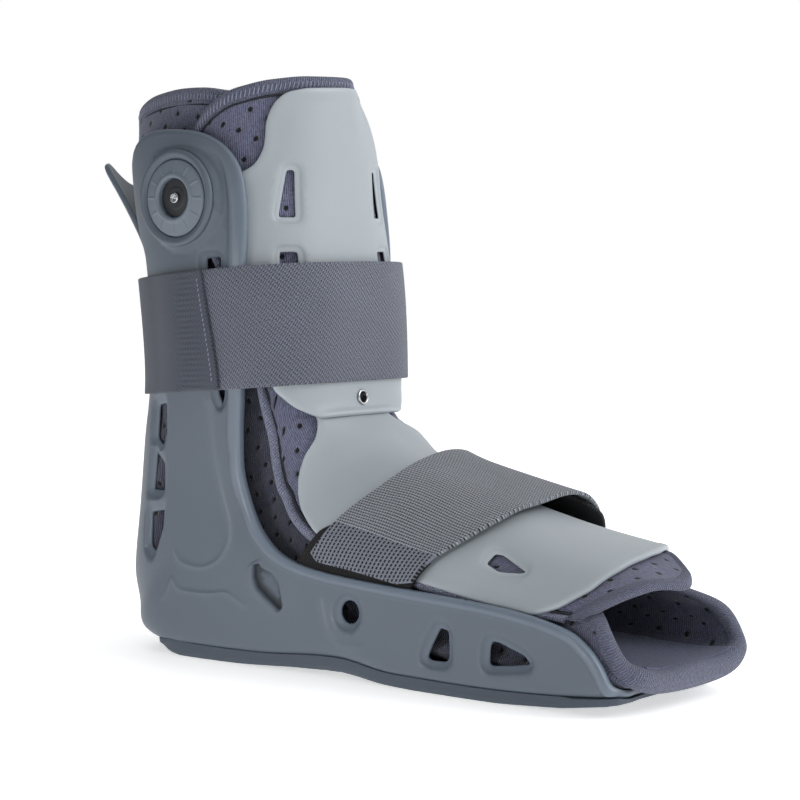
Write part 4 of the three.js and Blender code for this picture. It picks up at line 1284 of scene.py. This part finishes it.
# Edge tapes: how far they reach out and in from the sewn edge, and their half height
COLLAR_TAPE, TONGUE_TAPE, FRONT_TAPE = (2.6, 5.0, 3.4), (2.2, 5.0, 2.7), (2.6, 6.2, 2.7)
TAPE_POWER, PIPING = 2.6, (2.4, 2.3, 2.9, 2.0)
TOE_ROLL_SIDE, TOE_ROLL_SOLE, ROLL_REACH = 3.9, 5.3, 26
# Stitches: radius, sides, half length across the tape, distance along the tape and slant
STITCH_RADIUS, STITCH_SIDES, STITCH_HALF, STITCH_PITCH, STITCH_SLANT = 0.3, 5, 2.6, 1.9, 1.3
# Share of a grid over which the direction of its edge is taken
EDGE_STEP = 0.02


def sewn_tape(name, node, frames, tape, seam_height, shift):
    """A bound edge: its tape, a seam beside it drawn as a dark cord of painted shadow, and slanted stitches
    over it.
    """
    make_piece(f"{name}_tape", sweep(*frames, oval(*tape, TAPE_POWER)), "binding", [node])
    seam_shadow_line(f"{name}_seam", frames, tape[1] + 0.1, seam_height)
    reach = STITCH_HALF, shift
    stitch_row(f"{name}_stitches", frames, reach, tape[2] + 0.05, STITCH_PITCH, STITCH_SLANT)


def make_bindings(look):
    j = np.linspace(1 / 16, 15 / 16, 320)
    none = np.zeros_like(j)
    frames = edge_frames(liner_grid, (none, j), (none + EDGE_STEP, j), LINER_THICK / 2, 3.2)
    sewn_tape("collar_edge", "collar_binding", frames, COLLAR_TAPE, LINER_THICK / 2 + 0.2, -1.2)
    # The toe roll dives under the tongue, bulges beside it and hangs lowest along the sole
    j = np.linspace(0.0, 1.0, 360)
    full = np.ones_like(j)
    folded = fold(lerp(LINER_EDGE, 360 - LINER_EDGE, j))
    bulge, low = ramp(folded, 60, 84), ramp(folded, 94, 130)
    middle = lerp(lerp(1.0, 8.4, bulge), 8.2, low)
    frames = edge_frames(liner_grid, (full, j), (full - EDGE_STEP, j), middle, 1.0)
    middle, out, up = [soft_rows(rows, ROLL_REACH) for rows in frames]
    fat = lerp(lerp(0.6, 1.0, bulge), TOE_ROLL_SOLE / TOE_ROLL_SIDE, low)
    roll = sweep(middle, unit(out), unit(up), oval(TOE_ROLL_SIDE, 5.0, TOE_ROLL_SIDE, 2.1, 28), fat)
    make_piece("toe_edge_tape", roll, "binding", ["toe_binding"])
    j = np.linspace(0, 1, 320)
    none, full = np.zeros_like(j), np.ones_like(j)
    middle = (TONGUE_INNER + TONGUE_OUTER) / 2 + 0.3
    frames = edge_frames(tongue_grid, (none, j), (none + EDGE_STEP, j), middle, 2.6)
    sewn_tape("tongue_top", "tongue_binding", frames, TONGUE_TAPE, 1.7, -1.4)
    middle = middle - tip_droop(tongue_grid(full, j)[0], 2 * j - 1)
    frames = edge_frames(tongue_grid, (full, j), (full - EDGE_STEP, j), middle, -1.2)
    make_piece("tongue_front_tape", sweep(*frames, oval(*FRONT_TAPE)), "binding")
    i = np.linspace(0.01, 0.99, 420)
    for name, edge in (("near", 0.0), ("far", 1.0)):
        side = np.full_like(i, edge)
        frames = edge_frames(tongue_grid, (i, side), (i, np.abs(side - EDGE_STEP)), 9.2, -0.4)
        make_piece(f"tongue_piping_{name}", sweep(*frames, oval(*PIPING)), "piping")
        # Painted shadow: a dark cord in the groove beside the piping
        seam_shadow_line(f"tongue_piping_seam_{name}", frames, 2.9, 0.7, 0.8)


# Plates

SHIN_HALF = [
    (100, 26), (111, 44), (116, 53), (122, 58), (135, 59), (150, 61), (165, 69), (212, 72), (216, 66),
    (220, 55), (228, 49), (242, 47), (260, 45),
]
SHIN_TOP = [(0, 255.5), (0.55, 254.5), (0.8, 252.5), (0.93, 248), (1, 241)]
SHIN_BOTTOM = [(0, 108.5), (0.3, 109.3), (0.55, 111), (0.8, 115), (1, 123)]
# Windows of the plates: station number, angle from the dorsal line, near side plus
SHIN_WINDOWS = [
    [(1.56, 38), (1.56, 33), (2.22, 33), (2.22, 44)],
    [(2.66, 44.5), (2.66, 32), (3.5, 30), (3.5, 50)],
    [(1.56, -29), (1.56, -23), (2.22, -20), (2.22, -31)],
    [(2.66, -30), (2.66, -17), (3.5, -17), (3.5, -36)],
]
DORSAL_HALF = [
    (4.2, 20), (5.8, 25), (7.2, 35), (7.9, 45.5), (8.7, 52), (9.6, 58), (10.4, 64.5), (11, 71), (12, 76),
    (14.4, 80), (16, 80),
]
DORSAL_TOP = 4.25
DORSAL_FRONT = [
    (-1, 222), (-0.9, 233), (-0.7, 243.5), (-0.43, 249.5), (-0.18, 252), (0, 251), (0.18, 246), (0.45, 237),
    (0.75, 228), (1, 221),
]
DORSAL_WINDOW = [(13.72, 56.5), (13.76, 47.5), (13.84, 46.5), (14.16, 53.5), (14.12, 56.0), (13.88, 59.5)]
# Rows of points beside the plates' outlines and windows
PLATE_ROWS, DISH_ROWS = (3.4, 4.6), (1.7, 2.4, 3.2)
PLATE_LIFT, FAR_ROUND = 2.6, 15.0
EYELET_HEIGHT, EYELET_HOLE = 118.4, 2.9
EYELET_PROFILE = [
    (2.3, -5.0), (2.7, -5.0), (2.7, 0.1), (3.4, 0.1), (3.65, 0.5), (3.4, 0.95), (2.9, 1.1),
    (2.45, 0.8), (2.3, 0.3),
]


def shin_distance(height):
    """Distance of the shin plate from the skin; its lower end stands off over the dorsal plate."""
    return PLATE_OUTER + PLATE_LIFT * ramp(height, 147, 127)


def shin_place(t, degrees):
    return form_point(t, degrees, shin_distance(form_point(t, degrees, PLATE_OUTER)[..., 2]))


def dorsal_place(t, degrees):
    return form_point(t, degrees, PLATE_OUTER)


def eyelet_frame():
    """Top of the eyelet's seat on the shin plate and its outward direction."""
    heights = EYELET_HEIGHT + np.array([-3.0, 0.0, 3.0])
    low, middle, high = shin_place(station_at_height(heights, 0.0, PLATE_OUTER + PLATE_LIFT), 0.0)
    slope = high - low
    return middle, unit(np.array([slope[2], 0.0, -slope[0]]))


def make_plate(name, layer, outline, windows, look, node):
    outline = resample(soften(outline, 2.0), 1.5)
    windows = [resample(soften(resample(window, 0.5), 0.9), 0.9) for window in windows]
    centre, _ = eyelet_frame()
    hole = layer.find([(0.0, centre[2])], END_VIEW)[0] + circle(0, 0, EYELET_HOLE, 28)
    guides = [inset(outline, d) for d in PLATE_ROWS]
    guides += [resample(inset(window, -d), 1.0) for window in windows for d in DISH_ROWS]
    bm = flat_sheet(outline, windows + [hole], 2.2, (0.4, 1.0, 2.0), guides)
    flat = flat_places(bm)
    base, normal = layer.at(flat)
    to_edge = distance_to(resample(outline, 0.4), flat)
    to_window = distance_to(np.concatenate([resample(w, 0.4) for w in windows]), flat)
    edge = np.minimum(to_edge, to_window)
    lift = -0.35 * (1 - ramp(edge, 0, 1.0)) + 0.3 * (1 - ramp(to_edge, 2.6, 4.6))
    lift -= look.plate_dish / MM * (1 - ramp(to_window, 1.7, 3.2))
    outer = base + normal * lift[:, None]
    raise_wall(bm, outer, base - normal * (PLATE_OUTER - PLATE_INNER), round_rim(0.35))
    # Painted highlight along the plate's outline and windows
    painted_light = np.exp(-((edge / 1.2) ** 2))
    make_piece(name, bm, "plate", [node], flat=flat, painted_light=painted_light)


def make_plates(look):
    shin = Layer(shin_place, 0.0, 6.0, 100.0, back=False, line=20.0)
    share = np.linspace(-1, 1, 81)

    def shin_line(heights, degrees):
        return shin.lay(station_at_height(heights, -degrees, shin_distance(heights)), degrees)

    def shin_edge(table):
        heights = read(table, np.abs(share)) - FAR_ROUND * ramp(share, 0.3, 1.0) * (table is SHIN_TOP)
        return shin_line(heights, -share * read(SHIN_HALF, heights))

    def shin_side(top, side):
        heights = np.linspace(top, SHIN_BOTTOM[-1][1], 60)[1:-1]
        return shin_line(heights, side * read(SHIN_HALF, heights))

    corner = SHIN_TOP[-1][1]
    far_side, near_side = shin_side(corner - FAR_ROUND, FAR), shin_side(corner, NEAR)
    outline = np.vstack([shin_edge(SHIN_TOP), far_side, shin_edge(SHIN_BOTTOM)[::-1], near_side[::-1]])
    windows = [shin.lay(*np.array(window).T) for window in SHIN_WINDOWS]
    make_plate("shin_plate_moulding", shin, outline, windows, look, "shin_plate")

    dorsal = Layer(dorsal_place, 3.9, 15.9, 100.0, back=False, line=20.0)
    top = dorsal.lay(np.full(21, DORSAL_TOP), np.linspace(1, -0.4, 21) * read(DORSAL_HALF, DORSAL_TOP))
    front_t = station_at_length(read(DORSAL_FRONT, share))
    front = dorsal.lay(front_t, -share * read(DORSAL_HALF, front_t))

    def dorsal_side(last, side):
        t = np.linspace(DORSAL_TOP, last, 90)[1:-1]
        narrow = lerp(0.4, 1.0, ramp(t, 6.4, 9.2)) if side == FAR else 1.0
        return dorsal.lay(t, side * narrow * read(DORSAL_HALF, t))

    far_side, near_side = dorsal_side(front_t[-1], FAR), dorsal_side(front_t[0], NEAR)
    outline = np.vstack([top, far_side, front[::-1], near_side[::-1]])
    windows = [dorsal.lay(*(np.array(DORSAL_WINDOW) * (1, side)).T) for side in (NEAR, FAR)]
    make_plate("dorsal_plate_moulding", dorsal, outline, windows, look, "dorsal_plate")

    base, out = eyelet_frame()
    bm = turn_profile(rounded_profile(EYELET_PROFILE, 0.2), base, out, 48)
    make_piece("eyelet_ring", bm, "chrome", ["plate_eyelet"], sharp=50)


# Calf strap

CALF_X, CALF_Z, CALF_SLOPE, CALF_WIDTH = 35.0, 147.0, 0.085, 52.0
CALF_SEAM, CALF_LAP, CALF_FRONT = 86.0, 8.0, 15.6
RIDGE_PITCH, RIDGE_LIFT = 2.4, 0.2


def calf_point(share, degrees, distance):
    front, side, back = CALF_FRONT + distance, SHELL_OUTER + 0.4 + distance, SHELL_BACK + 0.4 + distance
    rough = form_point(3.5, degrees, front, side, back)
    height = CALF_Z + CALF_SLOPE * (rough[..., 0] - CALF_X) + CALF_WIDTH * (0.5 - share)
    return form_point(station_at_height(height, degrees, front, side, back), degrees, front, side, back)


def strap_piece(name, rows, columns, place, finish, slot, node, under="back_shell"):
    """A strap: a sheet of webbing built over its places; the mean of its lines gives a flat length and width
    that nothing uses.
    """
    bm, flat = grid_wall(columns, rows, lambda j, i: place(i, j), round_rim(0.5))
    strap = make_piece(name, bm, finish, [node], flat=flat)
    points = place(*share_grid(rows, columns))[0]
    length, width = run_of(points, 1)[:, -1].mean(), run_of(points)[-1].mean()


def make_calf_strap(look):
    def front(i, j):
        degrees = lerp(-CALF_SEAM - CALF_LAP, CALF_SEAM + CALF_LAP, j)
        return calf_point(i, degrees, STRAP_THICK), calf_point(i, degrees, 0.0)

    def back(i, j):
        degrees = lerp(CALF_SEAM, 360 - CALF_SEAM, j)
        folded = fold(degrees)
        lap = (STRAP_THICK + 0.4) * ramp(folded, CALF_SEAM + CALF_LAP + 20, CALF_SEAM + CALF_LAP + 1)
        # The elastic gathers in small ridges towards its sewn ends
        gather = ramp(folded, CALF_SEAM + 10, CALF_SEAM + 5) * ramp(folded, CALF_SEAM + 1.5, CALF_SEAM + 3)
        ridge = RIDGE_LIFT * np.sin(i * CALF_WIDTH / RIDGE_PITCH * math.tau) * gather
        return calf_point(i, degrees, lap + STRAP_THICK + ridge), calf_point(i, degrees, lap)

    strap_piece("calf_strap_front_web", 26, 150, front, "weave", "strap_weave", "calf_strap_front")
    strap_piece("calf_strap_back_web", 130, 170, back, "twill", "strap_twill", "calf_strap_back")
    lap_top = 2 * STRAP_THICK + 0.4
    share = np.linspace(0.02, 0.98, 120)
    for name, degrees in (("near", -CALF_SEAM - 1.1), ("far", CALF_SEAM + 1.1)):
        middle = calf_point(share, degrees, lap_top)
        up = unit(calf_point(share, degrees, lap_top + 1) - middle)
        out = unit(np.cross(np.gradient(middle, axis=0), up))
        stitch_row(f"calf_strap_stitches_{name}", (middle, out, up), (0.15, 0.0), 0.2, 2.2, 1.5)


# Instep straps: rear and front edges by angle

STRAP_REAR = [(-90, 11.1), (-66, 11.24), (-52, 11.52), (-36, 11.8), (-12, 11.86), (20, 11.6), (90, 11.2)]
STRAP_FRONT = [(-90, 13.0), (-68, 13.2), (-53, 13.48), (-30, 13.68), (0, 13.72), (40, 13.75), (90, 13.5)]
UNDER_INNER, INSTEP_INNER = 13.0, 15.6
TAB_START, TAB_END, INSTEP_END, UNDER_START, UNDER_END = -63.0, -81.0, 63.0, -84.4, 79.0


def instep_point(i, degrees, distance):
    t = lerp(smooth_read(STRAP_REAR, degrees, 8), smooth_read(STRAP_FRONT, degrees, 8), i)
    stand = 8 * ramp(degrees, -8, 34) * ramp(degrees, 80, 52) * lerp(0.5, 1, i)
    return form_point(t, degrees, distance + stand)


def instep_wall(i, degrees, inner):
    """Outer and inner points of an instep strap."""
    return instep_point(i, degrees, inner + STRAP_THICK), instep_point(i, degrees, inner)


def make_instep_straps(look):
    def strap(i, j):
        return instep_wall(i, lerp(TAB_START, INSTEP_END, j), INSTEP_INNER)

    def tab(i, j):
        clip = 2.6 * np.maximum(0, np.abs(2 * i - 1) - 0.8) / 0.2
        return instep_wall(i, lerp(TAB_START - 0.4, TAB_END + clip, j), INSTEP_INNER)

    def under(i, j):
        degrees = lerp(UNDER_START, UNDER_END, j)
        rear = lerp(0.06, -0.11, ramp(degrees, -58, -70))
        front = lerp(lerp(0.985, 0.9, ramp(degrees, -68, -60)), 1.03, ramp(degrees, 20, 45))
        return instep_wall(lerp(rear, front, i), degrees, UNDER_INNER)

    pieces = [
        ("instep_strap_web", 30, 130, strap, "webbing", "strap_weave", "instep_strap"),
        ("instep_tab_mesh", 30, 24, tab, "tab", "tab_mesh", "instep_strap_tab"),
        ("instep_under_hook", 30, 150, under, "hook", "hook_black", "instep_under_strap"),
    ]
    for piece in pieces:
        strap_piece(*piece, "dorsal_plate")


# Air valve: radius, height above its seat

BEZEL_PROFILE = [
    (17.2, 0.3), (21.4, 0.3), (21.4, 1.3), (20.9, 2.1), (19.9, 2.5), (18.6, 2.2), (17.6, 1.5),
    (17.2, 0.9),
]
DIAL_PROFILE = [
    (8.7, 0.3), (17.0, 0.3), (17.0, 1.3), (16.5, 1.8), (15.2, 2.1), (11.6, 2.75), (10.9, 3.3),
    (10.0, 3.6), (9.2, 3.3), (8.7, 2.6),
]
# Ribs on the dial: number, height, half width, inner and outer radius
DIAL_RIBS, DIAL_RIB_LIFT, DIAL_RIB_HALF, DIAL_RIB_IN, DIAL_RIB_OUT = 12, 0.3, 0.55, 11.4, 15.6
WELL_PROFILE = [(0, 0.3), (8.5, 0.3), (8.5, 0.8), (5.2, 0.8), (4.6, 1.1), (3.4, 1.1), (0, 1.1)]
PIN_PROFILE = [
    (0, 1.2), (2.4, 1.2), (2.4, 2.3), (2.0, 2.7), (1.5, 2.7), (1.2, 1.9), (0.5, 1.8), (0.4, 2.4),
    (0, 2.4),
]


def make_valve(look):
    base, out = (VALVE_X, VALVE_SEAT, VALVE_Z), (0, -1, 0)
    pieces = [
        ("valve_bezel_ring", BEZEL_PROFILE, "shell", "shell_plastic", "valve_bezel", "boot"),
        ("valve_dial_ring", DIAL_PROFILE, "dial", "shell_plastic", "valve_dial", "dial"),
        ("valve_well", WELL_PROFILE, "well", "shell_plastic", None, "boot"),
        ("valve_core_pin", PIN_PROFILE, "chrome", "chrome", "valve_core", "boot"),
    ]
    for name, profile, finish, slot, node, body in pieces:
        bm = turn_profile(rounded_profile(profile, 0.4), base, out, 192)
        if profile is DIAL_PROFILE:
            for vert in bm.verts:
                x, z = vert.co.x - VALVE_X, vert.co.z - VALVE_Z
                radius = math.hypot(x, z)
                turn = math.atan2(z, x) * DIAL_RIBS / math.tau
                away = abs(turn - round(turn)) * math.tau / DIAL_RIBS * radius
                if DIAL_RIB_IN < radius < DIAL_RIB_OUT and vert.co.y < VALVE_SEAT - 1:
                    vert.co.y -= DIAL_RIB_LIFT * (1 - ramp(away, 0.2, DIAL_RIB_HALF))
        make_piece(name, bm, finish, [node] if node else [], body=body, sharp=40)


# Stage

CAMERA_AZIMUTH, CAMERA_RISE, CAMERA_ROLL = 38.0, 3.6, 0.19
CAMERA_TARGET, CAMERA_DISTANCE, CAMERA_LENS = Vector((-0.0027, 0.0, 0.1179)), 1.097, 112.05
# Soft boxes: name, place, aim, size, value that holds the power, spread in degrees
SOFT_BOXES = [
    ("high soft box", (-0.6, -0.7, 1.4), (0, 0, 0.1), 0.8, "key_light", 180.0),
    ("front soft box", (1.15, 0.5, 0.9), (0.05, 0, 0.1), 0.9, "fill_light", 180.0),
    ("rear soft box", (-0.9, 0.7, 0.9), (-0.05, 0, 0.15), 0.7, "rim_light", 180.0),
    ("low soft box", (-0.2, -0.9, 0.12), (0.0, 0, 0.02), 0.3, "low_light", 24.0),
]
# Direction the surround lights from, its least and most light, and where it starts to grow
LIGHT_FROM, LIGHT_LEAST, LIGHT_MOST, LIGHT_START = Vector((0.54, 0.62, 0.57)).normalized(), 0.02, 1.55, -0.5
FLOOR_RADIUS, FLOOR_GLOW = 6.0, 0.55


def make_camera():
    a, e, roll = [math.radians(angle) for angle in (CAMERA_AZIMUTH, CAMERA_RISE, CAMERA_ROLL)]
    back = Vector((math.sin(a) * math.cos(e), -math.cos(a) * math.cos(e), math.sin(e)))
    right = Vector((math.cos(a), math.sin(a), 0))
    up = back.cross(right)
    right, up = right * math.cos(roll) + up * math.sin(roll), up * math.cos(roll) - right * math.sin(roll)
    data = bpy.data.cameras.new("photo camera")
    data.lens, data.sensor_width = CAMERA_LENS, 36.0
    data.clip_start, data.clip_end = 0.05, 20.0
    camera = add_object("photo camera", data)
    turn = Matrix((right, up, back)).transposed().to_4x4()
    camera.matrix_world = Matrix.Translation(CAMERA_TARGET + back * CAMERA_DISTANCE) @ turn
    bpy.context.scene.camera = camera


def make_light(name, place, aim, size, power, spread):
    data = bpy.data.lights.new(name, "AREA")
    data.shape, data.size, data.energy = "DISK", size, power
    data.spread = math.radians(spread)
    light = add_object(name, data)
    light.location = place
    light.rotation_euler = (Vector(aim) - Vector(place)).to_track_quat("-Z", "Y").to_euler()


def make_surround(strength):
    """A white surround to the eye that lights more from above and from the toes' side."""
    world = bpy.data.worlds.new("soft studio")
    world.use_nodes = True
    nodes, links = world.node_tree.nodes, world.node_tree.links
    seen, lit = nodes["Background"], nodes.new("ShaderNodeBackground")
    seen.inputs["Strength"].default_value = 1.0
    seen.inputs["Color"].default_value = (1, 1, 1, 1)
    toward = nodes.new("ShaderNodeVectorMath")
    toward.operation = "DOT_PRODUCT"
    toward.inputs[1].default_value = LIGHT_FROM
    spread = nodes.new("ShaderNodeMapRange")
    ends = {"From Min": LIGHT_START, "To Min": LIGHT_LEAST * strength, "To Max": LIGHT_MOST * strength}
    for socket, value in ends.items():
        spread.inputs[socket].default_value = value
    mixed = nodes.new("ShaderNodeMixShader")
    links.new(nodes.new("ShaderNodeTexCoord").outputs["Generated"], toward.inputs[0])
    links.new(toward.outputs["Value"], spread.inputs["Value"])
    links.new(spread.outputs["Result"], lit.inputs["Strength"])
    links.new(nodes.new("ShaderNodeLightPath").outputs["Is Camera Ray"], mixed.inputs[0])
    links.new(lit.outputs[0], mixed.inputs[1])
    links.new(seen.outputs[0], mixed.inputs[2])
    links.new(mixed.outputs[0], nodes["World Output"].inputs["Surface"])
    return world


def make_stage(look):
    make_camera()
    bpy.context.scene.view_settings.view_transform = "Standard"
    bpy.context.scene.world = make_surround(look.world_light)
    for name, place, aim, size, power, spread in SOFT_BOXES:
        make_light(name, place, aim, size, getattr(look, power), spread)
    g = Graph("pale floor", (0.88, 0.88, 0.88), 0.9, emission_strength=FLOOR_GLOW)
    g.set("Base Color", g.shade(0.98 + g.noise(g.place(), 0.4, 1.0) * 0.03))
    bm = bmesh.new()
    bmesh.ops.create_circle(bm, cap_ends=True, segments=96, radius=FLOOR_RADIUS)
    mesh = bpy.data.meshes.new("floor")
    bm.to_mesh(mesh)
    bm.free()
    mesh.materials.append(g.material)
    add_object("floor", mesh)


# Add-on


def colour(name, code, text):
    return FloatVectorProperty(
        name=name, description=text, subtype="COLOR", size=3, min=0.0, max=1.0, default=linear(code))


def length(name, millimetres, text):
    return FloatProperty(
        name=name, description=text, default=millimetres * MM, min=0.0, unit="LENGTH", precision=5)


def amount(name, value, text):
    return FloatProperty(name=name, description=text, default=value, min=0.0)


class BootLook(bpy.types.PropertyGroup):
    """Colours and sizes of the boot's pieces."""

    shell_colour: colour("Shell", "#59636f", "Moulded back shell")
    dial_colour: colour("Dial", "#6e7883", "Valve dial")
    sole_colour: colour("Sole", "#4a535e", "Rubber outsole")
    plate_colour: colour("Plates", "#a1a9af", "Shin and dorsal plates")
    knit_colour: colour("Liner", "#6e718b", "Punched knit of the liner")
    boot_knit_colour: colour("Liner boot", "#63677f", "Punched knit of the liner boot behind the tongue")
    footbed_colour: colour("Footbed", "#535a78", "Knit of the footbed")
    binding_colour: colour("Edge tape", "#696e86", "Tape on the liner's edges")
    piping_colour: colour("Piping", "#858aa2", "Piping down the sides of the tongue")
    stitch_colour: colour("Stitches", "#8a8fa3", "Thread of the edge tapes and the calf strap")
    twill_colour: colour("Calf strap, back", "#4e5461", "Back part of the calf strap")
    weave_colour: colour("Calf strap, front", "#6c717f", "Front part of the calf strap")
    webbing_colour: colour("Instep strap", "#82878f", "Upper instep strap")
    tab_colour: colour("Tab", "#6a6f7a", "Mesh tab of the instep strap")
    hook_colour: colour("Hook tape", "#141418", "Lower instep strap")
    border_lift: length("Border", 1.2, "Height of the raised border of the uprights")
    line_lift: length("Lines", 0.36, "Height of the raised lines on the shell")
    window_dish: length("Window dish", 1.3, "Depth of the dished surround of the shell's windows")
    plate_dish: length("Plate dish", 1.0, "Depth of the dished surround of the plates' windows")
    tread_pitch: length("Tread pitch", 9.0, "Distance between the bars of the tread")
    tread_depth: length("Tread depth", 1.4, "Depth of the grooves of the tread")
    knit_pitch: length("Knit pitch", 1.0, "Distance between the ribs of the liner's knit")
    hole_pitch: length("Hole pitch", 9.5, "Distance between the air holes of the liner")
    hole_width: length("Hole width", 2.3, "Width of the air holes of the liner")
    world_light: amount("Surround light", 0.85, "Strength of the white surround")
    key_light: amount("High light", 0.35, "Power of the high soft box")
    fill_light: amount("Front light", 7.0, "Power of the front soft box")
    rim_light: amount("Rear light", 2.0, "Power of the rear soft box")
    low_light: amount("Low light", 0.08, "Power of the low soft box beside the sole")


class BootOperator(bpy.types.Operator):
    """Shared by the boot's operators."""

    bl_options = {"REGISTER", "UNDO"}
    make = None

    def execute(self, context):
        look = context.scene.boot_look
        if not FINISHES:
            make_finishes(look)
        type(self).make(look)
        return {"FINISHED"}


class BOOT_OT_stage(BootOperator):
    """Set the floor, the lights and the camera"""

    bl_idname = "boot.stage"
    bl_label = "Stage"
    make = staticmethod(make_stage)


class BOOT_OT_back_shell(BootOperator):
    """Mould the back shell with its uprights, rear finger, windows and raised border"""

    bl_idname = "boot.back_shell"
    bl_label = "Back shell"
    make = staticmethod(make_back_shell)


class BOOT_OT_outsole(BootOperator):
    """Lay the rubber outsole and its tread under the shell"""

    bl_idname = "boot.outsole"
    bl_label = "Outsole"
    make = staticmethod(make_outsole)


class BOOT_OT_liner(BootOperator):
    """Fit the padded liner boot and its footbed"""

    bl_idname = "boot.liner"
    bl_label = "Liner boot"
    make = staticmethod(make_liner)


class BOOT_OT_tongue(BootOperator):
    """Fit the padded tongue over the front of the liner"""

    bl_idname = "boot.tongue"
    bl_label = "Liner tongue"
    make = staticmethod(make_tongue)


class BOOT_OT_bindings(BootOperator):
    """Sew the tapes and piping along the liner's edges"""

    bl_idname = "boot.bindings"
    bl_label = "Edge tapes"
    make = staticmethod(make_bindings)


class BOOT_OT_plates(BootOperator):
    """Mould the shin and dorsal plates and set the eyelet that joins them"""

    bl_idname = "boot.plates"
    bl_label = "Plates"
    make = staticmethod(make_plates)


class BOOT_OT_calf_strap(BootOperator):
    """Wrap the two parts of the calf strap"""

    bl_idname = "boot.calf_strap"
    bl_label = "Calf strap"
    make = staticmethod(make_calf_strap)


class BOOT_OT_instep_straps(BootOperator):
    """Wrap the instep straps and the tab"""

    bl_idname = "boot.instep_straps"
    bl_label = "Instep straps"
    make = staticmethod(make_instep_straps)


class BOOT_OT_valve(BootOperator):
    """Turn the bezel, dial and core of the air valve"""

    bl_idname = "boot.valve"
    bl_label = "Air valve"
    make = staticmethod(make_valve)


OPERATORS = [
    BOOT_OT_stage, BOOT_OT_back_shell, BOOT_OT_outsole, BOOT_OT_liner, BOOT_OT_tongue, BOOT_OT_bindings,
    BOOT_OT_plates, BOOT_OT_calf_strap, BOOT_OT_instep_straps, BOOT_OT_valve,
]


class BOOT_PT_panel(bpy.types.Panel):
    """Lists the boot's operators and values"""

    bl_label = "Walking boot"
    bl_idname = "BOOT_PT_panel"
    bl_space_type = "VIEW_3D"
    bl_region_type = "UI"
    bl_category = "Boot"

    def draw(self, context):
        for operator in OPERATORS:
            self.layout.operator(operator.bl_idname)
        for name in BootLook.__annotations__:
            self.layout.prop(context.scene.boot_look, name)


CLASSES = [BootLook, *OPERATORS, BOOT_PT_panel]


def register():
    for item in CLASSES:
        bpy.utils.register_class(item)
    bpy.types.Scene.boot_look = PointerProperty(type=BootLook)


def unregister():
    del bpy.types.Scene.boot_look
    for item in reversed(CLASSES):
        bpy.utils.unregister_class(item)


def main():
    register()
    for operator in OPERATORS:
        group, name = operator.bl_idname.split(".")
        getattr(getattr(bpy.ops, group), name)()


if __name__ == "__main__":
    main()
